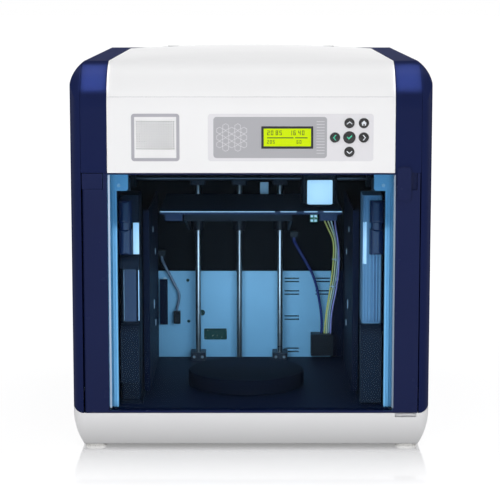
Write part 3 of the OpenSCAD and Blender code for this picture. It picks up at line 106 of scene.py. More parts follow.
class PrinterSizes(bpy.types.PropertyGroup):
    """Sizes of the fine parts."""

    print_height: length_property("Print height", "How far printed marks stand out", 0.06 * MM)
    mark_line: length_property("Mark line", "Line width of the key marks", 1.5 * MM)
    key_dome: length_property("Key dome", "Height of a key's dome", 1.8 * MM)
    screw_head: length_property("Screw head", "Radius of a screw's head", 3.0 * MM)
    wire_radius: length_property("Wire radius", "Radius of a harness wire", 1.1 * MM)
    cable_radius: length_property("Cable radius", "Radius of a jacketed cable", 2.0 * MM)
    thread_pitch: length_property("Thread pitch", "Pitch of the lead screw's thread", 2.0 * MM)
    tooth_pitch: length_property("Belt pitch", "Pitch of the belts' teeth", 3.0 * MM)


class PrinterStage(bpy.types.PropertyGroup):
    """Camera, light and floor."""

    lens: FloatProperty(name="Lens", description="Focal length in mm on the sensor", default=133.2, min=1,
                        unit="CAMERA")
    tilt: FloatProperty(name="Tilt", description="Downward tilt of the camera", default=math.radians(8.26),
                        subtype="ANGLE")
    camera_side: length_property("Camera side", "Camera's distance left of the middle", 1.4 * MM)
    camera_away: length_property("Camera away", "Camera's distance in front of the door", 2.375)
    camera_height: length_property("Camera height", "Camera's height above the floor", 0.6064)
    ground: colour_property("Floor", "Colour of the floor", (166, 166, 168))
    sky: FloatProperty(name="Sky", description="Strength of the surroundings' light", default=0.4, min=0)


def finishes():
    return bpy.context.scene.printer_finishes


def sizes():
    return bpy.context.scene.printer_sizes


# Places on the object, from the frame

@functools.cache
def span(node):
    """Lowest and highest corner of a CAD node."""
    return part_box(node)


def low(node):
    return span(node)[0]


def high(node):
    return span(node)[1]


def middle(node):
    return (low(node) + high(node)) / 2


FRONT = low("front_fascia").y
BACK = high("rear_cover").y
FLOOR = high("chamber_floor").z
BACK_WALL = low("lower_back_wall").y


def off(origin, x, y, z):
    """The point at distances in mm from an origin."""
    return tuple(base + step * MM for base, step in zip(origin, (x, y, z)))


# Materials

def set_inputs(node, values):
    """Gives a node's named inputs their values."""
    for name, value in values.items():
        node.inputs[name].default_value = value


def start_finish(name, colour, rough, metal=0.0, shine=0.5):
    """A new material, its node tree and its shader set to even values."""
    finish = bpy.data.materials.new(name)
    finish.use_nodes = True
    tree = finish.node_tree
    shader = tree.nodes["Principled BSDF"]
    set_inputs(shader, {"Base Color": (*colour, 1), "Roughness": rough, "Metallic": metal,
                        "Specular IOR Level": shine})
    return finish, tree, shader


def shade(colour, factor):
    """A colour made darker or lighter."""
    return tuple(min(part * factor, 1.0) for part in colour)


def place_of(tree, scale=(1, 1, 1)):
    """Object coordinates, stretched by a scale."""
    place = tree.nodes.new("ShaderNodeTexCoord")
    stretch = tree.nodes.new("ShaderNodeMapping")
    stretch.inputs["Scale"].default_value = scale
    tree.links.new(place.outputs["Object"], stretch.inputs["Vector"])
    return stretch.outputs["Vector"]


def parts_of(tree, vector):
    """The X, Y and Z of a vector, as sockets."""
    parts = tree.nodes.new("ShaderNodeSeparateXYZ")
    tree.links.new(vector, parts.inputs["Vector"])
    return parts.outputs


def noise_of(tree, where, scale, detail=3.0):
    """Cloudy noise from 0 to 1 at a place."""
    noise = tree.nodes.new("ShaderNodeTexNoise")
    set_inputs(noise, {"Scale": scale, "Detail": detail})
    tree.links.new(where, noise.inputs["Vector"])
    return noise.outputs["Fac"]


def range_of(tree, amount, least, most, start=0.0, end=1.0):
    """An amount that runs from start to end, spread so that it runs from least to most and stops there."""
    spread = tree.nodes.new("ShaderNodeMapRange")
    set_inputs(spread, {"From Min": start, "From Max": end, "To Min": least, "To Max": most})
    tree.links.new(amount, spread.inputs["Value"])
    return spread.outputs["Result"]


def ramp_of(tree, amount, first, last):
    """A colour between two colours, by an amount near a half."""
    ramp = tree.nodes.new("ShaderNodeValToRGB")
    ends = ramp.color_ramp.elements
    for end, position, colour in zip(ends, (0.3, 0.7), (first, last)):
        end.position = position
        end.color = (*colour, 1)
    tree.links.new(amount, ramp.inputs["Fac"])
    return ramp.outputs["Color"]


def feed(tree, socket, value):
    """Links another socket to a socket, or gives it a number or a colour."""
    if isinstance(value, bpy.types.NodeSocket):
        tree.links.new(value, socket)
    elif isinstance(value, (int, float)):
        socket.default_value = value
    else:
        socket.default_value = (*value, 1)


def math_of(tree, operation, first, second):
    """The result of one Math node on sockets or numbers."""
    step = tree.nodes.new("ShaderNodeMath")
    step.operation = operation
    for socket, value in zip(step.inputs, (first, second)):
        feed(tree, socket, value)
    return step.outputs["Value"]


def mix_colours(tree, amount, first, second, blend="MIX"):
    """A colour that goes from one socket or colour to another by an amount, or the way of another blend."""
    mix = tree.nodes.new("ShaderNodeMix")
    mix.data_type = "RGBA"
    mix.blend_type = blend
    feed(tree, mix.inputs[0], amount)
    for socket, value in zip(mix.inputs[6:8], (first, second)):
        feed(tree, socket, value)
    return mix.outputs[2]


def bump_by(tree, amount, shader, height):
    """Raises the shader's surface by an amount, up to a height."""
    bump = tree.nodes.new("ShaderNodeBump")
    set_inputs(bump, {"Strength": 1, "Distance": height})
    tree.links.new(amount, bump.inputs["Height"])
    tree.links.new(bump.outputs["Normal"], shader.inputs["Normal"])


def vary_tint(tree, amount, shader, colour, darker, lighter):
    """Lets a colour go from darker to lighter by an amount."""
    tint = ramp_of(tree, amount, shade(colour, darker), shade(colour, lighter))
    tree.links.new(tint, shader.inputs["Base Color"])


def vary_gloss(tree, amount, shader, rough, smoother, rougher):
    """Lets a roughness go from smoother to rougher by an amount."""
    gloss = range_of(tree, amount, rough * smoother, min(rough * rougher, 1.0))
    tree.links.new(gloss, shader.inputs["Roughness"])


def inside_of(tree, limits):
    """1 within limits (axis, least, most) of the Object coordinates, and 0 outside."""
    place = parts_of(tree, place_of(tree))
    amount = 1.0
    for axis, least, most in limits:
        above = math_of(tree, "GREATER_THAN", place[axis], least)
        below = math_of(tree, "LESS_THAN", place[axis], most)
        amount = math_of(tree, "MULTIPLY", math_of(tree, "MULTIPLY", above, below), amount)
    return amount


def facing_of(tree, axis):
    """How far the surface faces along an Object axis, either way, from 0 to 1."""
    place = tree.nodes.new("ShaderNodeTexCoord")
    return math_of(tree, "ABSOLUTE", parts_of(tree, place.outputs["Normal"])[axis], 0.0)


def moulded(name, colour, rough, cloud=0.05, grain=0.02 * MM, shine=0.5):
    """Moulded plastic: faint clouds in the colour, uneven gloss and a fine grain."""
    finish, tree, shader = start_finish(name, colour, rough, shine=shine)
    where = place_of(tree)
    vary_tint(tree, noise_of(tree, where, scale=8.0), shader, colour, darker=1 - cloud, lighter=1 + cloud)
    vary_gloss(tree, noise_of(tree, where, scale=50.0), shader, rough, smoother=0.85, rougher=1.15)
    bump_by(tree, noise_of(tree, where, scale=900.0, detail=2.0), shader, grain)
    return finish


def shell_plastic(name, colour, rough, cloud, shine):
    """Moulded shell: satin on its front and rear faces, matt on its top and its round sides."""
    finish = moulded(name, colour, rough, cloud=cloud, shine=shine)
    tree = finish.node_tree
    shader = tree.nodes["Principled BSDF"]
    up = range_of(tree, facing_of(tree, "Z"), least=0.0, most=1.0, start=0.6, end=0.95)
    side = range_of(tree, facing_of(tree, "X"), least=0.0, most=1.0, start=0.7, end=0.95)
    matt = math_of(tree, "MAXIMUM", up, side)
    gloss = shader.inputs["Roughness"].links[0].from_socket
    rougher = math_of(tree, "MAXIMUM", gloss, matt)
    tree.links.new(rougher, shader.inputs["Roughness"])
    return finish


def base_plastic_painted_shade(name, colour, foot, rim):
    """Shell plastic with painted shade: its front and rear faces darken in colour from a rim's height to a
    foot's height, as if shaded towards the floor.
    """
    finish = shell_plastic(name, colour, rough=0.32, cloud=0.012, shine=0.3)
    tree = finish.node_tree
    shader = tree.nodes["Principled BSDF"]
    height = parts_of(tree, place_of(tree))["Z"]
    depth = range_of(tree, height, least=1.0, most=0.0, start=foot, end=rim)
    curve = 1.5
    # Painted shade: the colour darkens towards the floor on faces that look to the front or the rear.
    shadow = math_of(tree, "MULTIPLY", math_of(tree, "POWER", depth, curve), facing_of(tree, "Y"))
    pale = shader.inputs["Base Color"].links[0].from_socket
    tint = mix_colours(tree, shadow, pale, shade(colour, 0.58))
    tree.links.new(tint, shader.inputs["Base Color"])
    return finish


def coated_sheet(name, colour, rough, shine=0.5):
    """Powder-coated sheet: an even colour with a low orange-peel surface."""
    finish, tree, shader = start_finish(name, colour, rough, shine=shine)
    where = place_of(tree)
    peel = noise_of(tree, where, scale=420.0, detail=1.0)
    vary_tint(tree, noise_of(tree, where, scale=14.0), shader, colour, darker=0.93, lighter=1.06)
    vary_gloss(tree, peel, shader, rough, smoother=0.9, rougher=1.2)
    bump_by(tree, peel, shader, height=0.03 * MM)
    return finish


def worked_metal(name, colour, rough, stretch, fine=60.0):
    """Metal with fine tool marks that run across the stretched direction."""
    finish, tree, shader = start_finish(name, colour, rough, metal=1.0)
    marks = noise_of(tree, place_of(tree, stretch), fine, detail=4.0)
    vary_tint(tree, marks, shader, colour, darker=0.86, lighter=1.08)
    vary_gloss(tree, marks, shader, rough, smoother=0.7, rougher=1.4)
    bump_by(tree, marks, shader, height=0.01 * MM)
    return finish


def rubber(name, colour):
    """Dull rubber with a coarse grain."""
    finish, tree, shader = start_finish(name, colour, rough=0.75, shine=0.3)
    grain = noise_of(tree, place_of(tree), scale=600.0, detail=3.0)
    vary_tint(tree, grain, shader, colour, darker=0.8, lighter=1.2)
    bump_by(tree, grain, shader, height=0.05 * MM)
    return finish


def toothed_belt(name, colour, axis, pitch):
    """Belt rubber with teeth along an Object axis."""
    finish = rubber(name, colour)
    tree = finish.node_tree
    along = parts_of(tree, place_of(tree))[axis]
    turns = math_of(tree, "MULTIPLY", along, 2 * math.pi / pitch)
    bump_by(tree, math_of(tree, "SINE", turns, 0.0), tree.nodes["Principled BSDF"], height=0.5 * MM)
    return finish


def tinted_window(name, tint):
    """Clear sheet: a tinted see-through body under a mirror-like skin."""
    finish, tree, skin = start_finish(name, (1, 1, 1), rough=0.03, metal=1.0)
    body = tree.nodes.new("ShaderNodeBsdfTransparent")
    body.inputs["Color"].default_value = (*tint, 1)
    glance = tree.nodes.new("ShaderNodeLayerWeight")
    glance.inputs["Blend"].default_value = 0.09
    both = tree.nodes.new("ShaderNodeMixShader")
    tree.links.new(glance.outputs["Fresnel"], both.inputs["Fac"])
    tree.links.new(body.outputs["BSDF"], both.inputs[1])
    tree.links.new(skin.outputs["BSDF"], both.inputs[2])
    tree.links.new(both.outputs["Shader"], tree.nodes["Material Output"].inputs["Surface"])
    return finish


def lit_display(name, colour):
    """Back-lit display ground with a faint dot raster."""
    finish, tree, shader = start_finish(name, colour, rough=0.25, shine=0.15)
    raster = tree.nodes.new("ShaderNodeTexChecker")
    set_inputs(raster, {"Scale": 1300.0, "Color1": (*colour, 1), "Color2": (*shade(colour, 0.9), 1)})
    tree.links.new(place_of(tree), raster.inputs["Vector"])
    tree.links.new(raster.outputs["Color"], shader.inputs["Base Color"])
    tree.links.new(raster.outputs["Color"], shader.inputs["Emission Color"])
    shader.inputs["Emission Strength"].default_value = 0.35
    return finish


def circuit_board(name, colour):
    """Lacquered board with lighter tracks and bright pads."""
    finish, tree, shader = start_finish(name, colour, rough=0.35)
    where = place_of(tree)
    tracks = tree.nodes.new("ShaderNodeTexBrick")
    set_inputs(tracks, {"Scale": 90.0, "Mortar Size": 0.035, "Color1": (*colour, 1),
                        "Color2": (*shade(colour, 0.8), 1), "Mortar": (*shade(colour, 2.2), 1)})
    tree.links.new(where, tracks.inputs["Vector"])
    pads = tree.nodes.new("ShaderNodeTexVoronoi")
    pads.inputs["Scale"].default_value = 260.0
    tree.links.new(where, pads.inputs["Vector"])
    pad_reach = 0.16
    pad_gold = (0.62, 0.55, 0.36)
    pad = math_of(tree, "LESS_THAN", pads.outputs["Distance"], pad_reach)
    tint = mix_colours(tree, pad, tracks.outputs["Color"], pad_gold)
    tree.links.new(tint, shader.inputs["Base Color"])
    bump_by(tree, pad, shader, height=0.05 * MM)
    return finish


def two_tone(name, inner, outer, rough, limits, shine=0.5):
    """Moulded plastic with an inner colour inside some limits of its place, and an outer one round them."""
    finish, tree, shader = start_finish(name, outer, rough, shine=shine)
    where = place_of(tree)
    tint = mix_colours(tree, inside_of(tree, limits), outer, inner)
    cloud = ramp_of(tree, noise_of(tree, where, scale=30.0), (0.94, 0.94, 0.94), (1, 1, 1))
    clouded = mix_colours(tree, 1, tint, cloud, blend="MULTIPLY")
    tree.links.new(clouded, shader.inputs["Base Color"])
    bump_by(tree, noise_of(tree, where, scale=800.0, detail=2.0), shader, height=0.02 * MM)
    return finish


# Mesh helpers

def add_block(mesh, lowest, highest, edge):
    """A block between two corners, with round edges of a radius in mm."""
    lowest = Vector(lowest)
    highest = Vector(highest)
    corners = bmesh.ops.create_cube(mesh, size=1.0)["verts"]
    bmesh.ops.scale(mesh, vec=highest - lowest, verts=corners)
    bmesh.ops.translate(mesh, vec=(lowest + highest) / 2, verts=corners)
    sides = list({side for corner in corners for side in corner.link_edges})
    bmesh.ops.bevel(mesh, geom=sides, offset=edge * MM, affect="EDGES", segments=2, profile=0.5,
                    material=-1)


def add_blocks(mesh, origin, boxes, edge):
    """Blocks between pairs of corners that are given in mm from an origin."""
    for lowest, highest in boxes:
        add_block(mesh, off(origin, *lowest), off(origin, *highest), edge)


def add_bar(mesh, start, end, radius, sides=20, end_radius=None):
    """A round bar or cone between two points."""
    start = Vector(start)
    run = Vector(end) - start
    made = bmesh.ops.create_cone(mesh, cap_ends=True, segments=sides, radius1=radius,
                                 radius2=radius if end_radius is None else end_radius, depth=run.length)
    turn = Vector((0, 0, 1)).rotation_difference(run).to_matrix()
    bmesh.ops.rotate(mesh, cent=(0, 0, 0), matrix=turn, verts=made["verts"])
    bmesh.ops.translate(mesh, vec=start + run / 2, verts=made["verts"])


def push_out(mesh, faces, way):
    """Gives flat faces a thickness along a way."""
    made = bmesh.ops.extrude_face_region(mesh, geom=faces, use_keep_orig=True)
    moved = [item for item in made["geom"] if isinstance(item, bmesh.types.BMVert)]
    bmesh.ops.translate(mesh, vec=way, verts=moved)


def add_outline(mesh, points, y, thick):
    """A flat shape of X and Z points, facing the front at y and thick behind it."""
    face = mesh.faces.new([mesh.verts.new((x, y, z)) for x, z in points])
    push_out(mesh, [face], (0, thick, 0))


def box_outline(lowest, highest):
    """Corners of a rectangle of X and Z, in order."""
    left, foot = lowest
    right, top = highest
    return [(left, foot), (right, foot), (right, top), (left, top)]


def round_plate(mesh, lowest, highest, radius, y):
    """A flat rectangle of X and Z with round corners, facing the front at y."""
    before = set(mesh.faces)
    corners = [mesh.verts.new((x, y, z)) for x, z in box_outline(lowest, highest)]
    mesh.faces.new(corners)
    bmesh.ops.bevel(mesh, geom=corners, offset=radius, affect="VERTICES", segments=6, profile=0.5,
                    material=-1)
    return [face for face in mesh.faces if face not in before]


def add_ring(mesh, x, z, inner, outer, y, thick, sides=40):
    """A flat ring that faces the front."""
    loops = []
    for radius in (inner, outer):
        made = bmesh.ops.create_circle(mesh, cap_ends=False, segments=sides, radius=radius)["verts"]
        bmesh.ops.rotate(mesh, cent=(0, 0, 0), matrix=Matrix.Rotation(math.pi / 2, 3, "X"), verts=made)
        bmesh.ops.translate(mesh, vec=(x, y, z), verts=made)
        loops += list({side for vert in made for side in vert.link_edges})
    faces = bmesh.ops.bridge_loops(mesh, edges=loops)["faces"]
    push_out(mesh, faces, (0, thick, 0))


def add_frame(mesh, outer, inner, thick):
    """A flat frame between two flat shapes with as many corners each, thick behind them."""
    loops = [side for face in outer + inner for side in face.edges]
    bmesh.ops.delete(mesh, geom=outer + inner, context="FACES_ONLY")
    faces = bmesh.ops.bridge_loops(mesh, edges=loops)["faces"]
    push_out(mesh, faces, (0, thick, 0))


def add_turned(mesh, profile, centre, axis):
    """A profile of radius and height points in mm, spun round the X or Z axis through a centre."""
    before = set(mesh.verts)
    verts = [mesh.verts.new((radius * MM, 0, height * MM)) for radius, height in profile]
    edges = [mesh.edges.new(pair) for pair in zip(verts, verts[1:])]
    bmesh.ops.spin(mesh, geom=verts + edges, cent=(0, 0, 0), axis=(0, 0, 1), angle=2 * math.pi, steps=24,
                   use_merge=True)
    made = [vert for vert in mesh.verts if vert not in before]
    bmesh.ops.remove_doubles(mesh, verts=made, dist=MERGE_GAP)
    made = [vert for vert in mesh.verts if vert not in before]
    if axis == "X":
        turn = Matrix.Rotation(math.pi / 2, 3, "Y")
        bmesh.ops.rotate(mesh, cent=(0, 0, 0), matrix=turn, verts=made)
    bmesh.ops.translate(mesh, vec=centre, verts=made)


def wire_mesh(points, radius):
    """A round wire on a smooth curve through some points, as a new bmesh."""
    curve = bpy.data.curves.new("wire", "CURVE")
    curve.dimensions = "3D"
    curve.bevel_depth = radius
    curve.bevel_resolution = 2
    curve.resolution_u = 6
    curve.use_fill_caps = True
    knots = curve.splines.new("BEZIER").bezier_points
    knots.add(len(points) - 1)
    for knot, place in zip(knots, points):
        knot.handle_left_type = "AUTO"
        knot.handle_right_type = "AUTO"
        knot.co = place
    holder = bpy.data.objects.new("wire", curve)
    data = bpy.data.meshes.new_from_object(holder)
    mesh = bmesh.new()
    mesh.from_mesh(data)
    bmesh.ops.remove_doubles(mesh, verts=mesh.verts[:], dist=MERGE_GAP)
    bpy.data.meshes.remove(data)
    bpy.data.objects.remove(holder)
    bpy.data.curves.remove(curve)
    return mesh


def thread_mesh(centre, start, end, core, crest, pitch, starts):
    """An upright thread with several starts round a core, as a new bmesh."""
    mesh = bmesh.new()
    steps = 8
    root = core - 0.2 * MM
    ends = []
    for ridge in range(starts):
        corners = [mesh.verts.new((centre.x + radius, centre.y, start + pitch * height))
                   for radius, height in ((root, 0.08), (crest, 0.32), (crest, 0.68), (root, 0.92))]
        ends.append(mesh.faces.new(corners))
        turn = Matrix.Rotation(2 * math.pi * ridge / starts, 3, "Z")
        bmesh.ops.rotate(mesh, cent=centre, matrix=turn, verts=corners)
    made = bmesh.ops.spin(mesh, geom=ends, cent=centre, axis=(0, 0, 1), dvec=(0, 0, pitch / steps),
                          angle=-2 * math.pi / starts, steps=steps)["geom_last"]
    ends = [face for face in ends if face.is_valid]
    ends += [item for item in made if isinstance(item, bmesh.types.BMFace)]
    bmesh.ops.delete(mesh, geom=ends, context="FACES_ONLY")
    row = mesh.verts[:] + mesh.edges[:] + mesh.faces[:]
    for step in range(1, int((end - start) / pitch) - 1):
        copy = bmesh.ops.duplicate(mesh, geom=row)["geom"]
        moved = [item for item in copy if isinstance(item, bmesh.types.BMVert)]
        bmesh.ops.translate(mesh, vec=(0, 0, pitch * step), verts=moved)
    bmesh.ops.remove_doubles(mesh, verts=mesh.verts[:], dist=MERGE_GAP)
    bmesh.ops.holes_fill(mesh, edges=[side for side in mesh.edges if side.is_boundary], sides=4)
    add_bar(mesh, (centre.x, centre.y, start), (centre.x, centre.y, end), core, 36)
    return mesh


def as_piece(name, mesh, body, finish, smooth=True):
    """Turns a bmesh into a piece that rides on a body."""
    bmesh.ops.recalc_face_normals(mesh, faces=mesh.faces[:])
    data = bpy.data.meshes.new(name)
    mesh.to_mesh(data)
    mesh.free()
    if smooth:
        data.shade_smooth()
        data.set_sharp_from_angle(angle=SMOOTH_ANGLE)
    data.materials.append(finish)
    piece = bpy.data.objects.new(name, data)
    bpy.context.scene.collection.objects.link(piece)
    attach(piece, body)
    return piece


def paint(nodes, finish):
    """Gives CAD nodes a finish."""
    for name in nodes:
        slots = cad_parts[name].data.materials
        slots.clear()
        slots.append(finish)


def add_screw(mesh, place, way, radius):
    """A pan-head screw with a socket, whose head stands out along a way."""
    way = Vector(way)
    place = Vector(place)
    add_bar(mesh, place, place + way * radius * 0.5, radius, 14, radius * 0.86)
    add_bar(mesh, place + way * radius * 0.5, place + way * radius * 0.55, radius * 0.5, 6)


# Operators

class PRINTER_OT_stage(bpy.types.Operator):
    """Sets the camera, the white surroundings, the floor and the lamps."""

    bl_idname = "printer.stage"
    bl_label = "Stage"

    def execute(self, context):
        scene = context.scene
        stage = scene.printer_stage
        scene.view_settings.view_transform = "Standard"
        camera = bpy.data.cameras.new("camera")
        camera.lens = stage.lens
        camera.sensor_width = SENSOR_WIDTH
        viewer = bpy.data.objects.new("camera", camera)
        viewer.location = (-stage.camera_side, FRONT - stage.camera_away, stage.camera_height)
        viewer.rotation_euler = (math.pi / 2 - stage.tilt, 0, 0)
        scene.collection.objects.link(viewer)
        scene.camera = viewer
        self.surround(scene, stage)
        self.lay_floor(scene, stage)
        self.hang_lamps()
        return {"FINISHED"}

    def surround(self, scene, stage):
        """Even white surroundings, at full strength only where they are seen or mirrored."""
        world = bpy.data.worlds.new("surroundings")
        world.use_nodes = True
        scene.world = world
        tree = world.node_tree
        ground = tree.nodes["Background"]
        ground.inputs["Color"].default_value = (1, 1, 1, 1)
        path = tree.nodes.new("ShaderNodeLightPath")
        seen = math_of(tree, "MAXIMUM", path.outputs["Is Camera Ray"], path.outputs["Is Glossy Ray"])
        seen = math_of(tree, "MAXIMUM", seen, path.outputs["Is Transmission Ray"])
        tree.links.new(range_of(tree, seen, stage.sky, 1.0), ground.inputs["Strength"])

    def lay_floor(self, scene, stage):
        """A wide pale floor that shines where it is seen, and mirrors the machine just ahead of it."""
        reach = 30
        mesh = bmesh.new()
        bmesh.ops.create_grid(mesh, x_segments=1, y_segments=1, size=reach)
        data = bpy.data.meshes.new("floor")
        mesh.to_mesh(data)
        mesh.free()
        finish, tree, shader = start_finish("floor_pale", stage.ground, rough=0.9, shine=0.0)
        place = place_of(tree)
        away = tree.nodes.new("ShaderNodeVectorMath")
        away.operation = "LENGTH"
        tree.links.new(place, away.inputs[0])
        path = tree.nodes.new("ShaderNodeLightPath")
        seen = math_of(tree, "MAXIMUM", path.outputs["Is Camera Ray"], path.outputs["Is Glossy Ray"])
        strength = range_of(tree, away.outputs["Value"], least=0.72, most=1.0, start=0.6, end=1.8)
        glow = tree.nodes.new("ShaderNodeEmission")
        tree.links.new(math_of(tree, "MULTIPLY", seen, strength), glow.inputs["Strength"])
        pale = tree.nodes.new("ShaderNodeAddShader")
        tree.links.new(shader.outputs["BSDF"], pale.inputs[0])
        tree.links.new(glow.outputs["Emission"], pale.inputs[1])
        mirror = tree.nodes.new("ShaderNodeBsdfGlossy")
        set_inputs(mirror, {"Color": (1, 1, 1, 1), "Roughness": 0.06})
        depth = parts_of(tree, place)["Y"]
        share = range_of(tree, depth, least=0.0, most=0.62, start=FRONT - 0.205, end=FRONT)
        share = math_of(tree, "MULTIPLY", share, path.outputs["Is Camera Ray"])
        both = tree.nodes.new("ShaderNodeMixShader")
        tree.links.new(share, both.inputs["Fac"])
        tree.links.new(pale.outputs["Shader"], both.inputs[1])
        tree.links.new(mirror.outputs["BSDF"], both.inputs[2])
        tree.links.new(both.outputs["Shader"], tree.nodes["Material Output"].inputs["Surface"])
        data.materials.append(finish)
        floor = bpy.data.objects.new("floor", data)
        scene.collection.objects.link(floor)

    def hang_lamps(self):
        """Soft boxes round the machine, narrow lamps on the rails' brows and soft light in the chamber."""
        chamber = (FLOOR + low("bed_plate").z) / 2
        brow = Vector((0.203, FRONT + 0.016, high("left_rail").z - 0.017))
        above = brow + Vector((0.0, -0.25, 0.175))
        plate = Vector((0.0925, 0.0, 0.326))
        sides = {"left": Vector((-1, 1, 1)), "right": Vector((1, 1, 1))}
        self.hang("top_box", place=(0.0, 0.6, 2.2), target=(0.0, 0.0, 0.5), size=(1.6, 1.2), power=15.5)
        self.hang("front_box", place=(0.0, FRONT - 0.85, 1.15), target=(0.0, FRONT, 0.38), size=(1.7, 0.6),
                  power=0.6)
        self.hang("fill_box", place=(0.0, FRONT - 1.0, 0.42), target=(0.0, FRONT, 0.42), size=(1.2, 0.2),
                  power=7.3, mirrored=False)
        for name, mirror in sides.items():
            self.hang(name + "_box", place=Vector((1.7, -0.2, 0.9)) * mirror,
                      target=Vector((0.2, 0.0, 0.25)) * mirror, size=(0.8, 1.2), power=4.6)
        self.hang("rear_box", place=(0.5, 1.9, 1.3), target=(0.0, 0.2, 0.25), size=(1.2, 0.9), power=9.0)
        for name, mirror in sides.items():
            self.hang(name + "_spot", place=above * mirror, target=brow * mirror, size=(0.031, 0.044),
                      power=0.014, mirrored=False, spread=math.radians(2.5))
        self.hang("door_light", place=(0.0, FRONT + 0.012, chamber), target=(0.0, BACK_WALL, chamber),
                  size=(0.36, 0.24), power=0.27)
        self.hang("wall_light", place=(0.0, BACK_WALL - 0.17, chamber), target=(0.0, BACK_WALL, 0.1),
                  size=(0.13, 0.12), power=0.16)
        self.hang("head_light", place=(plate.x, FRONT + 0.02, plate.z), target=plate, size=(0.04, 0.04),
                  power=0.005, mirrored=False, spread=1.0)

    def hang(self, name, place, target, size, power, mirrored=True, spread=math.pi):
        """One soft lamp that faces a target, and that shows in mirrors or not."""
        lamp = bpy.data.lights.new(name, "AREA")
        lamp.shape = "RECTANGLE"
        lamp.size = size[0]
        lamp.size_y = size[1]
        lamp.energy = power
        lamp.spread = spread
        item = bpy.data.objects.new(name, lamp)
        item.location = place
        way = Vector(target) - Vector(place)
        item.rotation_euler = way.to_track_quat("-Z", "Y").to_euler()
        item.visible_camera = False
        item.visible_glossy = mirrored
        bpy.context.scene.collection.objects.link(item)


class PRINTER_OT_shell(bpy.types.Operator):
    """Finishes the outer shell."""

    bl_idname = "printer.shell"
    bl_label = "Shell"

    def execute(self, context):
        looks = finishes()
        navy = shell_plastic("navy_plastic", looks.navy, rough=0.3, cloud=0.05, shine=0.05)
        white = shell_plastic("white_plastic", looks.white, rough=0.32, cloud=0.012, shine=0.3)
        base = base_plastic_painted_shade("base_plastic_painted_shade", looks.white, low("base_tray").z, high("base_tray").z)
        paint(["left_side_panel", "right_side_panel", "left_rail", "right_rail", "rear_cover"], navy)
        paint(["front_fascia", "lid"], white)
        paint(["base_tray"], base)
        paint(["feet"], rubber("foot_rubber", seen_colour(212, 211, 208)))
        paint(["lid_hinges"], coated_sheet("lid_hinge_grey", seen_colour(70, 72, 80), rough=0.4))
        self.seal_lid()
        return {"FINISHED"}

    def seal_lid(self):
        """A soft pale seal on the fascia's top edge, in the gap under the lid."""
        edge = high("front_fascia").z
        mesh = bmesh.new()
        add_block(mesh, off((low("lid").x, FRONT, edge), 0, 0.05, -0.1),
                  off((high("lid").x, FRONT, edge), 0, 2, 0.34), 0.05)
        as_piece("lid_seal", mesh, "root", rubber("seal_pale", seen_colour(226, 226, 228)))


class PRINTER_OT_door(bpy.types.Operator):
    """Finishes the door, its window, pull and hinges."""

    bl_idname = "printer.door"
    bl_label = "Door"

    def execute(self, context):
        looks = finishes()
        navy = moulded("door_navy", looks.navy, rough=0.26, shine=0.1)
        paint(["door_frame", "door_handle"], navy)
        paint(["door_window"], tinted_window("window_sheet", looks.window))
        paint(["door_hinges"], moulded("hinge_navy", looks.navy, rough=0.3, shine=0.1))
        self.paint_window_glints(looks)
        return {"FINISHED"}

    def paint_window_glints(self, looks):
        """Painted highlights: pale strips down both sides of the window that stand in for the glint on the
        sheet's edges, the right one half as bright.
        """
        reach = 186 * MM
        face = low("door_window").y
        foot = FLOOR + 2 * MM
        head = low("control_panel").z - 18 * MM
        for name, start, end, front, strength in (
                ("window_glint_left", -reach + 0.8 * MM, -reach + 3.4 * MM, face - 0.5 * MM, 1.0),
                ("window_glint_right", reach - 1.6 * MM, reach + 0.8 * MM, FRONT - 0.2 * MM, 0.5)):
            # Painted highlight: a pale strip's colour, dimmer on the right side
            colour = shade(looks.window_glint_colour, strength)
            mesh = bmesh.new()
            add_block(mesh, (start, front, foot), (end, face, head), 0.2)
            bright = moulded(name + "_finish", colour, rough=0.2, cloud=0.03)
            as_piece(name, mesh, "door", bright)


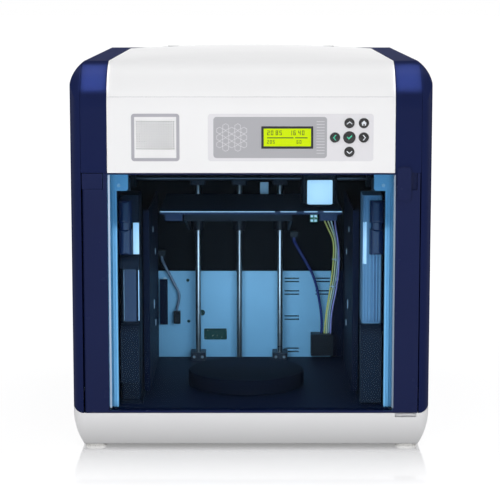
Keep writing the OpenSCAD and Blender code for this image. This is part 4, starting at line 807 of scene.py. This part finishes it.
class PRINTER_OT_panel(bpy.types.Operator):
    """Finishes the control panel, its display, keys and grille, and adds their print."""

    bl_idname = "printer.panel"
    bl_label = "Control panel"

    arrow_turns = {"key_up": 0, "key_left": 1, "key_down": 2, "key_right": 3}
    house = ((-1.4, 0), (0, 1.35), (1.4, 0), (1, 0), (1, -1.1), (0.35, -1.1), (0.35, -0.3), (-0.35, -0.3),
             (-0.35, -1.1), (-1, -1.1), (-1, 0))
    segments = {"0": "abcdef", "1": "bc", "2": "abged", "3": "abgcd", "4": "fgbc", "5": "afgcd",
                "6": "afgedc", "7": "abc", "8": "abcdefg", "9": "abcfgd"}
    # Text, X, Z and height of the numbers, and X and length of the bars, in mm from the display's middle
    numbers = (("20", -26, 3, 6), ("85", -15, 3, 6), ("16", 3, 3, 6), ("40", 14, 3, 6),
               ("205", -26, -8, 4.6), ("60", 12, -8, 4.6))
    long_bars = ((-26, 34), (10, 16))

    def execute(self, context):
        looks = finishes()
        paint(["control_panel"], moulded("panel_film", looks.panel_grey, rough=0.38, cloud=0.02))
        paint(["lcd_bezel"], moulded("panel_black", seen_colour(22, 23, 28), rough=0.3))
        paint(["lcd_module"], lit_display("lit_display", looks.lime))
        paint(["keypad_board"], circuit_board("keypad_board", seen_colour(24, 84, 52)))
        paint(KEYS, moulded("key_black", seen_colour(13, 13, 17), rough=0.12, grain=0.0, shine=0.6))
        rim = 4 * MM
        columns = (0, low("grille_plate").x + rim, high("grille_plate").x - rim)
        rows = (2, low("grille_plate").z + rim, high("grille_plate").z - rim)
        grille = two_tone("grille_finish", looks.white, looks.frame_grey, rough=0.35,
                          limits=(columns, rows))
        paint(["grille_plate"], grille)
        self.dot_grille()
        self.print_field(looks)
        self.print_marks(looks)
        self.write_display(looks)
        self.mark_keys(looks)
        return {"FINISHED"}

    def dot_grille(self):
        """Rows of grey dots over the grille's small sound holes, a painted shade that stands in for the dark
        inside the holes.
        """
        mesh = bmesh.new()
        pitch = 3.05
        side_rim = 6.8
        top_rim = 8
        hole = 0.6 * MM
        skin = sizes().print_height
        corner = (low("grille_plate").x, low("grille_plate").y - skin, high("grille_plate").z)
        quarter = Matrix.Rotation(math.pi / 2, 3, "X")
        for column in range(16):
            for row in range(12):
                spot = off(corner, side_rim + column * pitch, 0, -top_rim - row * pitch)
                dot = bmesh.ops.create_circle(mesh, cap_ends=True, segments=12, radius=hole)["verts"]
                bmesh.ops.rotate(mesh, cent=(0, 0, 0), matrix=quarter, verts=dot)
                bmesh.ops.translate(mesh, vec=spot, verts=dot)
                push_out(mesh, dot[0].link_faces[:], (0, 2 * skin, 0))
        # Painted shade: grey dots darker than the grille, standing in for the shade in its holes.
        holes = moulded("grille_hole_shade", seen_colour(212, 212, 214), rough=0.6, cloud=0.04)
        as_piece("grille_dots", mesh, "root", holes, smooth=False)

    def print_field(self, looks):
        """The dark field round the display."""
        skin = sizes().print_height
        face = low("control_panel").y - skin
        inset = 4 * MM
        side_inset = 7 * MM
        key_gap = 3 * MM
        gap = 0.3 * MM
        panel = (low("control_panel"), high("control_panel"))
        display = (low("lcd_bezel"), high("lcd_bezel"))
        mesh = bmesh.new()
        outer = round_plate(mesh, (panel[0].x + side_inset, panel[0].z + inset),
                            (low("key_left").x - key_gap, panel[1].z - inset), radius=4 * MM, y=face)
        inner = round_plate(mesh, (display[0].x - gap, display[0].z - gap),
                            (display[1].x + gap, display[1].z + gap), radius=0.6 * MM, y=face)
        add_frame(mesh, outer, inner, skin * 1.3)
        field = moulded("print_dark", looks.print_dark, rough=0.4, cloud=0.03)
        as_piece("panel_field", mesh, "root", field)

    def print_marks(self, looks):
        """Honeycomb lines, pin lines and rings round the keys."""
        skin = sizes().print_height
        face = low("control_panel").y - 2 * skin
        corner = low("control_panel")
        cell = 5.2 * MM
        first_cell = corner.x + 15 * MM
        mesh = bmesh.new()
        for column in range(5):
            rows = 4 if column % 2 else 3
            for row in range(rows):
                x = first_cell + column * cell * 1.5
                z = middle("control_panel").z + (row - (rows - 1) / 2) * cell * math.sqrt(3)
                add_ring(mesh, x, z, cell * 0.78, cell * 0.88, face, 1.5 * skin, sides=6)
        left = high("lcd_bezel").x + 4 * MM
        right = low("key_left").x - 6 * MM
        first_line = corner.z + 10 * MM
        pitch = 3.7 * MM
        line = 0.5 * MM
        for row in range(12):
            z = first_line + row * pitch
            add_outline(mesh, box_outline((left, z), (right, z + line)), face, 1.5 * skin)
        gap = 0.2 * MM
        ring = 0.7 * MM
        for name in KEYS:
            spot = middle(name)
            radius = (high(name).x - low(name).x) / 2 + gap
            add_ring(mesh, spot.x, spot.z, radius, radius + ring, face, 2.5 * skin)
        lines = moulded("print_pale", looks.print_pale, rough=0.4, cloud=0.02)
        as_piece("panel_lines", mesh, "root", lines, smooth=False)

    def write_display(self, looks):
        """Plain numbers and two bars on the display."""
        skin = sizes().print_height
        face = low("lcd_module").y - skin
        centre = middle("lcd_bezel")
        mesh = bmesh.new()
        for text, x, z, height in self.numbers:
            for place, figure in enumerate(text):
                corner = (centre.x + (x + place * height * 0.8) * MM, centre.z + z * MM)
                self.write_figure(mesh, figure, corner, height * MM, face, skin)
        for x, wide in self.long_bars:
            lowest = (centre.x + x * MM, centre.z - 1.2 * MM)
            highest = (centre.x + (x + wide) * MM, centre.z + 0.4 * MM)
            add_outline(mesh, box_outline(lowest, highest), face, skin)
        ink = moulded("display_ink", looks.ink, rough=0.5, cloud=0.03)
        as_piece("display_marks", mesh, "root", ink, smooth=False)

    def write_figure(self, mesh, figure, corner, height, y, thick):
        """One seven-bar figure."""
        wide = height * 0.52
        line = height * 0.15
        x, z = corner
        bars = {
            "a": ((0, height - line), (wide, height)),
            "b": ((wide - line, height / 2), (wide, height)),
            "c": ((wide - line, 0), (wide, height / 2)),
            "d": ((0, 0), (wide, line)),
            "e": ((0, 0), (line, height / 2)),
            "f": ((0, height / 2), (line, height)),
            "g": ((0, (height - line) / 2), (wide, (height + line) / 2)),
        }
        for bar in self.segments[figure]:
            (left, base), (right, top) = bars[bar]
            add_outline(mesh, box_outline((x + left, z + base), (x + right, z + top)), y, thick)

    def mark_keys(self, looks):
        """A mark on each key, laid over its dome."""
        thick = 0.3 * MM
        pale = moulded("mark_white", seen_colour(226, 230, 236), rough=0.4, cloud=0.02)
        teal = moulded("mark_teal", looks.teal, rough=0.4, cloud=0.03)
        for name in KEYS:
            mesh = bmesh.new()
            add_outline(mesh, self.mark_outline(name), 0, thick)
            self.lay_on_dome(mesh, name, thick)
            tint = teal if name in ("key_left", "key_ok") else pale
            as_piece(name + "_mark", mesh, name, tint)

    def mark_outline(self, name):
        """X and Z corners of a key's mark: a house, a tick or an arrow."""
        line = sizes().mark_line
        if name == "key_home":
            side = 2.6 * MM
            return [(x * side, z * side) for x, z in self.house]
        if name == "key_ok":
            side = 3.6 * MM
            return [(-side, 0.1 * side), (-side + line * 0.7, 0.1 * side + line * 0.7),
                    (-0.2 * side, -0.45 * side + line), (side - line * 0.7, 0.75 * side + line * 0.4),
                    (side, 0.75 * side - line * 0.4), (-0.2 * side, -0.45 * side - line * 0.6)]
        side = 3.4 * MM
        points = [(-side, -side / 2), (-side, -side / 2 + line), (0, side / 2 + line * 0.6),
                  (side, -side / 2 + line), (side, -side / 2), (0, side / 2 - line * 0.4)]
        turn = Matrix.Rotation(self.arrow_turns[name] * math.pi / 2, 2)
        return [tuple(turn @ Vector(point)) for point in points]

    def lay_on_dome(self, mesh, name, thick):
        """Bends a flat mark over a key's dome, a little above it."""
        bmesh.ops.triangulate(mesh, faces=mesh.faces[:])
        bmesh.ops.subdivide_edges(mesh, edges=mesh.edges[:], cuts=3, use_grid_fill=True)
        flange = 1 * MM
        raised = -0.12 * MM
        sunk = 0.15 * MM
        dome = sizes().key_dome
        cap = (high(name).x - low(name).x) / 2 - flange
        ball = (cap ** 2 + dome ** 2) / (2 * dome)
        spot = middle(name)
        front = low(name).y
        for vert in mesh.verts:
            reach = math.hypot(vert.co.x, vert.co.z)
            sag = ball - math.sqrt(ball ** 2 - reach ** 2)
            depth = raised if vert.co.y < thick / 3 else sunk
            vert.co = (spot.x + vert.co.x, front + sag + depth, spot.z + vert.co.z)


class PRINTER_OT_chamber(bpy.types.Operator):
    """Finishes the chamber's walls, floor and posts."""

    bl_idname = "printer.chamber"
    bl_label = "Chamber"

    # Depth behind the front, height and radius of the inner walls' holes, in mm
    wall_holes = ((200, 262, 2.5), (260, 222, 3), (260, 118, 3), (220, 152, 5))
    # X, distance behind the back wall's face and height, in mm
    wire_shade_strips = (((119, -1.2, 50), (137.8, 0, 180.4)), ((-135.5, -6, 100), (-124, 0, 168)))
    wall_tab = ((13.5, -1.2, 284), (26, 0, 313))
    tab_screw = (19.8, -1.2, 290)
    # X, distance behind the front and height above the floor, in mm
    floor_fold = (((-182, 10, -1.6), (182, 17, -0.1)), ((-182, 10, -4), (182, 11.2, -0.4)))
    # X on either side, distance behind the front and height, in mm
    post_screws = ((172, 16, 344), (172, 16, 361))
    # X on either side, distance behind the back wall's face and height above the floor, in mm
    wall_screw = (128, 0, 118)

    def execute(self, context):
        looks = finishes()
        pale = looks.pale_sheet
        dark = looks.dark_sheet
        coat = coated_sheet("dark_sheet", dark, rough=0.55, shine=0.12)
        paint(["lower_back_wall"], coated_sheet("pale_sheet", pale, rough=0.45))
        posts = (1, -1.0, FRONT + 30 * MM)
        paint(["chassis"], two_tone("chassis_finish", pale, dark, rough=0.45, limits=(posts,)))
        paint(["left_inner_wall", "right_inner_wall", "chamber_floor"], coat)
        paint(["upper_back_wall"], coated_sheet("black_sheet", seen_colour(3, 6, 11), rough=0.55, shine=0.05))
        self.fix_walls()
        self.fold_floor(coat)
        self.line_back_wall(coat)
        return {"FINISHED"}

    def line_back_wall(self, coat):
        """Dark strips behind the wires at both ends of the lower back wall, a painted shade where the wall
        lies in shadow, and a pale tab above the bed.
        """
        wall = (0, BACK_WALL, 0)
        mesh = bmesh.new()
        # Painted shade: dark strips on the wall behind the wires, where the wall is in shadow.
        add_blocks(mesh, wall, self.wire_shade_strips, 0.5)
        as_piece("wire_shade_strips", mesh, "root", coat)
        mesh = bmesh.new()
        add_blocks(mesh, wall, (self.wall_tab,), 0.3)
        add_screw(mesh, off(wall, *self.tab_screw), AHEAD, 2 * MM)
        pale = coated_sheet("tab_pale", seen_colour(236, 244, 248), rough=0.4)
        as_piece("wall_tab", mesh, "root", pale)

    def fold_floor(self, coat):
        """The folded front edge of the floor's sheet, behind the door."""
        mesh = bmesh.new()
        add_blocks(mesh, (0, FRONT, FLOOR), self.floor_fold, 0.3)
        as_piece("floor_fold", mesh, "root", coat)

    def fix_walls(self):
        """Pale eyelets in the inner walls' holes, their pale colour a painted highlight for the glints at the
        holes, and screws in the posts and the back wall.
        """
        mesh = bmesh.new()
        for wall in (high("left_inner_wall").x, low("right_inner_wall").x):
            for depth, height, hole in self.wall_holes:
                rim = box_outline((hole - 0.4, -0.9), (hole + 1.6, 0.9))
                add_turned(mesh, rim + rim[:1], off((wall, FRONT, 0), 0, depth, height), "X")
        # Painted highlight: the eyelets' pale colour stands in for lamp glints at the holes.
        pale = moulded("eyelet_glint", seen_colour(190, 198, 208), rough=0.4)
        as_piece("wall_eyelets", mesh, "root", pale)
        mesh = bmesh.new()
        for side in (-1, 1):
            for x, y, z in self.post_screws:
                add_screw(mesh, off((0, FRONT, 0), side * x, y, z), AHEAD, 2.4 * MM)
            x, y, z = self.wall_screw
            add_screw(mesh, off((0, BACK_WALL, FLOOR), side * x, y, z), AHEAD, sizes().screw_head)
        steel = worked_metal("screw_steel", (0.62, 0.63, 0.65), rough=0.3, stretch=(1, 1, 1), fine=300.0)
        as_piece("chamber_screws", mesh, "root", steel)


class PRINTER_OT_scanner(bpy.types.Operator):
    """Finishes the two scanner towers."""

    bl_idname = "printer.scanner"
    bl_label = "Scanner towers"

    face = (0, FRONT + 42 * MM, 0)
    # Left, right, foot and head of the plates, and X, foot and head of the edges and ribs, in mm
    plates = {"left_tower_plate": (-155.5, -147.6, 250, 292), "right_tower_plate": (147.6, 152.4, 237, 293)}
    laser_edges = (-168.5, -149.2)
    laser_heights = (161, 229)
    first_rib = 153.4
    rib_pitch = 3.4
    rib_heights = (159, 248)

    def execute(self, context):
        dark = seen_colour(17, 22, 33)
        ribbed = (2, 157 * MM, 1.0)
        paint(["left_scan_tower"], moulded("tower_black", dark, rough=0.5, shine=0.1))
        paint(["right_scan_tower"], two_tone("tower_ribbed", seen_colour(116, 140, 160), dark, rough=0.5,
                                             limits=(ribbed,), shine=0.1))
        paint(["scan_optics"], moulded("scan_glass", seen_colour(20, 34, 64), rough=0.08, grain=0.0))
        self.plate_towers()
        self.edge_towers()
        return {"FINISHED"}

    def plate_towers(self):
        """Pale bare plates with two ridges, beside the cameras."""
        pale = coated_sheet("tower_plate", seen_colour(236, 240, 244), rough=0.35)
        for name, (start, end, foot, head) in self.plates.items():
            mesh = bmesh.new()
            add_block(mesh, off(self.face, start, -1.2, foot), off(self.face, end, 0, head), 0.3)
            for step in (0.3, 0.62):
                x = start + (end - start) * step
                add_block(mesh, off(self.face, x, -1.7, foot + 1), off(self.face, x + 1.1, -1, head - 1), 0.2)
            as_piece(name, mesh, "root", pale)

    def edge_towers(self):
        """Ribs on the right tower, coloured dark as painted shade for the grooves between them, and bright
        edges on the laser's window in the left one.
        """
        foot, head = self.rib_heights
        mesh = bmesh.new()
        for rib in range(6):
            x = self.first_rib + self.rib_pitch * rib
            add_block(mesh, off(self.face, x, -0.5, foot), off(self.face, x + 1.3, 0, head), 0.2)
        # Painted shade: the raised ribs are dark, standing in for the shade in the grooves between the pale
        # ridges.
        dark = moulded("rib_groove_shade", seen_colour(70, 92, 122), rough=0.35)
        as_piece("tower_ribs", mesh, "root", dark)
        foot, head = self.laser_heights
        mesh = bmesh.new()
        for x in self.laser_edges:
            add_block(mesh, off(self.face, x, -1, foot), off(self.face, x + 1.2, 0, head), 0.25)
        bright = moulded("laser_edge", seen_colour(214, 226, 240), rough=0.2)
        as_piece("laser_edges", mesh, "root", bright)


class PRINTER_OT_motion(bpy.types.Operator):
    """Finishes the rods, belts, motors, bed, gantry and head."""

    bl_idname = "printer.motion"
    bl_label = "Motion"

    # X of the uprights, stretches of the bed's edge from its left end, and X and Z of the head plate's
    # corners, in mm
    uprights = (-78, 43)
    edge_stretches = ((0, 154), (161, 183), (193, 211), (219, 244))
    head_plate = ((75.5, 309.5), (109.5, 342.5))

    def execute(self, context):
        chrome = worked_metal("rod_chrome", (0.42, 0.41, 0.41), rough=0.3, stretch=(1, 1, 8))
        steel = worked_metal("rod_steel", (0.1, 0.1, 0.11), rough=0.3, stretch=(8, 1, 1))
        grey = coated_sheet("clamp_grey", seen_colour(40, 43, 52), rough=0.4)
        dark = moulded("carriage_black", seen_colour(17, 19, 26), rough=0.45, shine=0.2)
        pitch = sizes().tooth_pitch
        paint(["guide_rods", "y_drive_shaft", "x_pulley"], chrome)
        paint(["x_rods"], steel)
        paint(["rod_clamps"], grey)
        motor = worked_metal("motor_dark", seen_colour(62, 64, 70), rough=0.4, stretch=(1, 1, 6))
        paint(["drive_motors", "x_motor"], motor)
        paint(["y_belts"], toothed_belt("long_belt", seen_colour(26, 26, 28), "Y", pitch))
        paint(["x_belt"], toothed_belt("cross_belt", seen_colour(26, 26, 28), "X", pitch))
        paint(["bed_carriage", "gantry_sliders", "head_housing"], dark)
        paint(["bed_plate"], coated_sheet("bed_dark", seen_colour(44, 52, 74), rough=0.5, shine=0.2))
        paint(["hot_end"], worked_metal("nozzle_brass", (0.72, 0.52, 0.24), rough=0.3, stretch=(1, 1, 6)))
        self.cut_thread(chrome)
        self.edge_bed()
        self.hang_board()
        self.plate_head()
        self.fix_clamps()
        return {"FINISHED"}

    def fix_clamps(self):
        """Bright screws in the lower clamps of the uprights."""
        mesh = bmesh.new()
        clamps = (0, middle("lead_screw").y, FLOOR)
        for x in self.uprights:
            for side in (-6, 6):
                add_screw(mesh, off(clamps, x + side, -11, 6), AHEAD, 2.2 * MM)
        bright = worked_metal("clamp_bright", (0.85, 0.85, 0.86), rough=0.3, stretch=(1, 1, 1), fine=300.0)
        as_piece("clamp_screws", mesh, "root", bright)

    def cut_thread(self, chrome):
        """The lead screw with its thread."""
        axis = middle("lead_screw")
        start = FLOOR + 0.3 * MM
        end = high("lead_screw").z - 10.3 * MM
        mesh = thread_mesh(axis, start, end, core=3.3 * MM, crest=4.0 * MM, pitch=sizes().thread_pitch,
                           starts=4)
        top = (axis.x, axis.y, high("lead_screw").z)
        foot = (axis.x, axis.y, low("lead_screw").z)
        add_bar(mesh, (axis.x, axis.y, end - MM), top, radius=2.4 * MM)
        add_bar(mesh, foot, (axis.x, axis.y, start + MM), radius=2.5 * MM)
        screw = as_piece("lead_screw_thread", mesh, "lead_screw", chrome)
        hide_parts("lead_screw")

    def edge_bed(self):
        """The bright front edge of the bed's plate, between its clips."""
        edge = (low("bed_plate").x, low("bed_plate").y, high("bed_plate").z)
        mesh = bmesh.new()
        for start, end in self.edge_stretches:
            add_block(mesh, off(edge, start, -0.4, -0.9), off(edge, end, 4, 0.3), 0.25)
        bright = worked_metal("bed_bright", (0.86, 0.87, 0.88), rough=0.3, stretch=(8, 1, 1))
        as_piece("bed_edge", mesh, "bed", bright)

    def hang_board(self):
        """A small sensor board with white plugs, under the bed's front edge."""
        corner = off((middle("bed_plate").x, low("bed_plate").y, high("bed_plate").z), 79, 4, -15)
        mesh = bmesh.new()
        add_block(mesh, corner, off(corner, 10, 1.6, 11), 0.2)
        for x in (2, 5, 8):
            add_bar(mesh, off(corner, x, -0.4, 5), off(corner, x, 1, 5), radius=0.5 * MM, sides=8)
        board = circuit_board("bed_board", seen_colour(28, 96, 58))
        as_piece("bed_board", mesh, "bed", board)
        mesh = bmesh.new()
        for x in (0.6, 5.6):
            for z in (1, 7):
                add_block(mesh, off(corner, x, -2.4, z), off(corner, x + 3.6, 0, z + 3), 0.3)
        white = moulded("plug_white", seen_colour(236, 238, 232), rough=0.4)
        as_piece("bed_plugs", mesh, "bed", white)

    def plate_head(self):
        """A bare pale plate on the head's front, with a low rim."""
        front = low("head_housing").y
        lowest, highest = (Vector(corner) * MM for corner in self.head_plate)
        mesh = bmesh.new()
        push_out(mesh, round_plate(mesh, lowest, highest, 2 * MM, front - 0.8 * MM), (0, 1.4 * MM, 0))
        rims = []
        for inset, radius in ((2.2, 1.4), (2.9, 1.2)):
            inward = Vector((inset, inset)) * MM
            rims.append(round_plate(mesh, lowest + inward, highest - inward, radius * MM, front - 1.1 * MM))
        add_frame(mesh, *rims, 0.5 * MM)
        pale = moulded("plate_pale", seen_colour(240, 243, 246), rough=0.35, cloud=0.02)
        as_piece("head_plate", mesh, "head", pale)


class PRINTER_OT_wiring(bpy.types.Operator):
    """Lays the wires and finishes their plugs."""

    bl_idname = "printer.wiring"
    bl_label = "Wiring"

    # Points in mm: distance to the inner wall and to the back wall, and height
    yellow = ((30, 7, 263), (29.8, 7.3, 259), (25, 9, 247), (17, 12, 228), (16, 12, 200), (20, 13, 160),
              (26, 14, 120), (29, 14, 88.5))
    straw = ((25, 7, 263), (24.8, 7.4, 259), (20, 13, 246), (14, 15, 229), (13, 15, 200), (17, 16, 160),
             (24, 16, 120), (26, 16, 88.5))
    pale = ((20, 7, 263), (19.9, 7.2, 259), (17, 10, 247), (13, 11, 229), (10, 11, 200), (14, 12, 160),
            (21, 12, 120), (23, 12, 88.5))
    violet = ((14, 7, 263), (14, 7.4, 259), (13, 14, 246), (10, 16, 229), (8, 16, 200), (11, 17, 160),
              (18, 17, 120), (20, 17, 88.5))
    bed = ((74, 5, 231), (73.9, 5.3, 226), (70, 9, 219), (65, 11.5, 210), (56, 11, 194), (45, 9, 172),
           (37, 9, 140), (33, 11, 110), (33, 13, 88.5))
    left = ((6, 3.5, 203), (6.1, 3.7, 198), (9, 7, 192), (14, 8, 182), (24, 6, 162), (31, 5, 146),
            (30, 5, 132), (28.1, 5, 125), (28, 5, 121))
    ties = ((12, 13.5, 200), (16.5, 14.5, 160))

    def execute(self, context):
        looks = finishes()
        radius = sizes().wire_radius
        thick = sizes().cable_radius
        paint(["connector_block"], moulded("plug_black", seen_colour(15, 17, 24), rough=0.45, shine=0.3))
        self.lay("yellow_wire", self.yellow, radius, looks.wire_yellow)
        self.lay("straw_wire", self.straw, radius, looks.wire_straw)
        self.lay("pale_wire", self.pale, radius, looks.wire_pale)
        self.lay("violet_wire", self.violet, radius, looks.wire_violet)
        self.lay("bed_cable", self.bed, thick, looks.cable_blue)
        self.lay("left_cable", self.left, thick, looks.cable_grey, -1)
        self.tie_wires()
        return {"FINISHED"}

    def spot(self, point, side):
        """A point from its distances in mm to an inner wall and the back wall, and its height."""
        wall = low("right_inner_wall").x if side > 0 else high("left_inner_wall").x
        return Vector((wall - side * point[0] * MM, BACK_WALL - point[1] * MM, point[2] * MM))

    def lay(self, name, route, radius, colour, side=1):
        """One wire or cable along its route."""
        mesh = wire_mesh([self.spot(point, side) for point in route], radius)
        skin = moulded(name + "_skin", colour, rough=0.35, cloud=0.04)
        wire = as_piece(name, mesh, "root", skin)
        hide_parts("wire_harness")

    def tie_wires(self):
        """Two straps round the harness, with their heads."""
        reach = 5.9
        strap = 0.7
        turns = [step * math.pi / 3 for step in range(7)]
        hoop = [(reach + strap * math.cos(turn), strap * math.sin(turn)) for turn in turns]
        mesh = bmesh.new()
        for point in self.ties:
            centre = self.spot(point, 1)
            add_turned(mesh, hoop, centre, "Z")
            add_block(mesh, off(centre, -2, -8.4, -1.6), off(centre, 2, -5.6, 1.6), 0.4)
        pale = moulded("tie_pale", seen_colour(214, 218, 222), rough=0.4)
        as_piece("wire_ties", mesh, "root", pale)


class PRINTER_OT_turntable(bpy.types.Operator):
    """Finishes the turntable."""

    bl_idname = "printer.turntable"
    bl_label = "Turntable"

    def execute(self, context):
        paint(["turntable_disc"], moulded("table_black", seen_colour(7, 11, 24), rough=0.65, shine=0.05))
        paint(["turntable_base"], moulded("table_foot", seen_colour(20, 22, 28), rough=0.4))
        return {"FINISHED"}


class PRINTER_OT_rear(bpy.types.Operator):
    """Finishes the fan, the power inlet, the supply, the main board and the cartridge."""

    bl_idname = "printer.rear"
    bl_label = "Rear"

    # Columns and rows of the cover's screws, and X and Z of the blades from the middle of the inlet's foot,
    # in mm
    screw_columns = (-205, 205)
    screw_rows = (62, 205, 345)
    blades = ((-7, 9), (7, 9), (0, 13))

    def execute(self, context):
        black = moulded("rear_black", seen_colour(24, 25, 29), rough=0.4)
        paint(["rear_fan", "fan_rotor", "power_inlet", "power_switch"], black)
        paint(["power_supply"], worked_metal("supply_case", (0.6, 0.61, 0.62), rough=0.35, stretch=(8, 1, 1)))
        paint(["main_board"], circuit_board("main_board", seen_colour(12, 42, 36)))
        paint(["filament_cartridge"], moulded("cartridge_grey", seen_colour(112, 114, 120), rough=0.45))
        self.drive_screws()
        self.cap_blades()
        self.mark_rocker()
        return {"FINISHED"}

    def drive_screws(self):
        """Screws in the rear cover."""
        mesh = bmesh.new()
        for x in self.screw_columns:
            for z in self.screw_rows:
                add_screw(mesh, off((0, BACK, 0), x, 0, z), (0, 1, 0), sizes().screw_head)
        black = worked_metal("screw_black", (0.12, 0.12, 0.13), rough=0.35, stretch=(1, 1, 1), fine=300.0)
        as_piece("rear_screws", mesh, "root", black)

    def cap_blades(self):
        """Metal skins on the inlet's three blades."""
        inlet = (middle("power_inlet").x, BACK, low("power_inlet").z)
        mesh = bmesh.new()
        for x, z in self.blades:
            centre = off(inlet, x, -9.7, z)
            add_block(mesh, off(centre, -1.05, -5.8, -2.05), off(centre, 1.05, 5.8, 2.05), 0.4)
        steel = worked_metal("blade_steel", (0.7, 0.7, 0.68), rough=0.25, stretch=(1, 8, 1))
        as_piece("inlet_blades", mesh, "root", steel)

    def mark_rocker(self):
        """A bar and a ring on the rocker's two faces."""
        axis = middle("power_switch")
        rocker = (axis.x, BACK - 5 * MM, axis.z)
        mesh = bmesh.new()
        add_ring(mesh, 0, 0, inner=1.5 * MM, outer=2.1 * MM, y=-0.1 * MM, thick=0.2 * MM, sides=28)
        slant = Matrix.Rotation(math.radians(15.8), 3, "X")
        bmesh.ops.rotate(mesh, cent=(0, 0, 0), matrix=slant, verts=mesh.verts[:])
        bmesh.ops.translate(mesh, vec=off(rocker, 0, 3.5, -4.8), verts=mesh.verts[:])
        add_block(mesh, off(rocker, -0.4, 2.05, 3), off(rocker, 0.4, 2.28, 6.6), 0.05)
        white = moulded("rocker_white", seen_colour(226, 228, 230), rough=0.4)
        as_piece("rocker_marks", mesh, "power_switch", white)


class PRINTER_PT_tools(bpy.types.Panel):
    """Lists the steps and the values that they use."""

    bl_idname = "PRINTER_PT_tools"
    bl_label = "Printer"
    bl_space_type = "VIEW_3D"
    bl_region_type = "UI"
    bl_category = "Printer"

    def draw(self, context):
        for step in STEPS:
            self.layout.operator(step.bl_idname)
        for group in (finishes(), sizes(), context.scene.printer_stage):
            for name in group.__annotations__:
                self.layout.prop(group, name)


STEPS = (
    PRINTER_OT_stage,
    PRINTER_OT_shell,
    PRINTER_OT_door,
    PRINTER_OT_panel,
    PRINTER_OT_chamber,
    PRINTER_OT_scanner,
    PRINTER_OT_motion,
    PRINTER_OT_wiring,
    PRINTER_OT_turntable,
    PRINTER_OT_rear,
)
CLASSES = (PrinterFinishes, PrinterSizes, PrinterStage, *STEPS, PRINTER_PT_tools)


def register():
    for item in CLASSES:
        bpy.utils.register_class(item)
    bpy.types.Scene.printer_finishes = PointerProperty(type=PrinterFinishes)
    bpy.types.Scene.printer_sizes = PointerProperty(type=PrinterSizes)
    bpy.types.Scene.printer_stage = PointerProperty(type=PrinterStage)


def unregister():
    del bpy.types.Scene.printer_stage
    del bpy.types.Scene.printer_sizes
    del bpy.types.Scene.printer_finishes
    for item in reversed(CLASSES):
        bpy.utils.unregister_class(item)


def main():
    register()
    for step in STEPS:
        group, name = step.bl_idname.split(".")
        getattr(getattr(bpy.ops, group), name)()


if __name__ == "__main__":
    main()
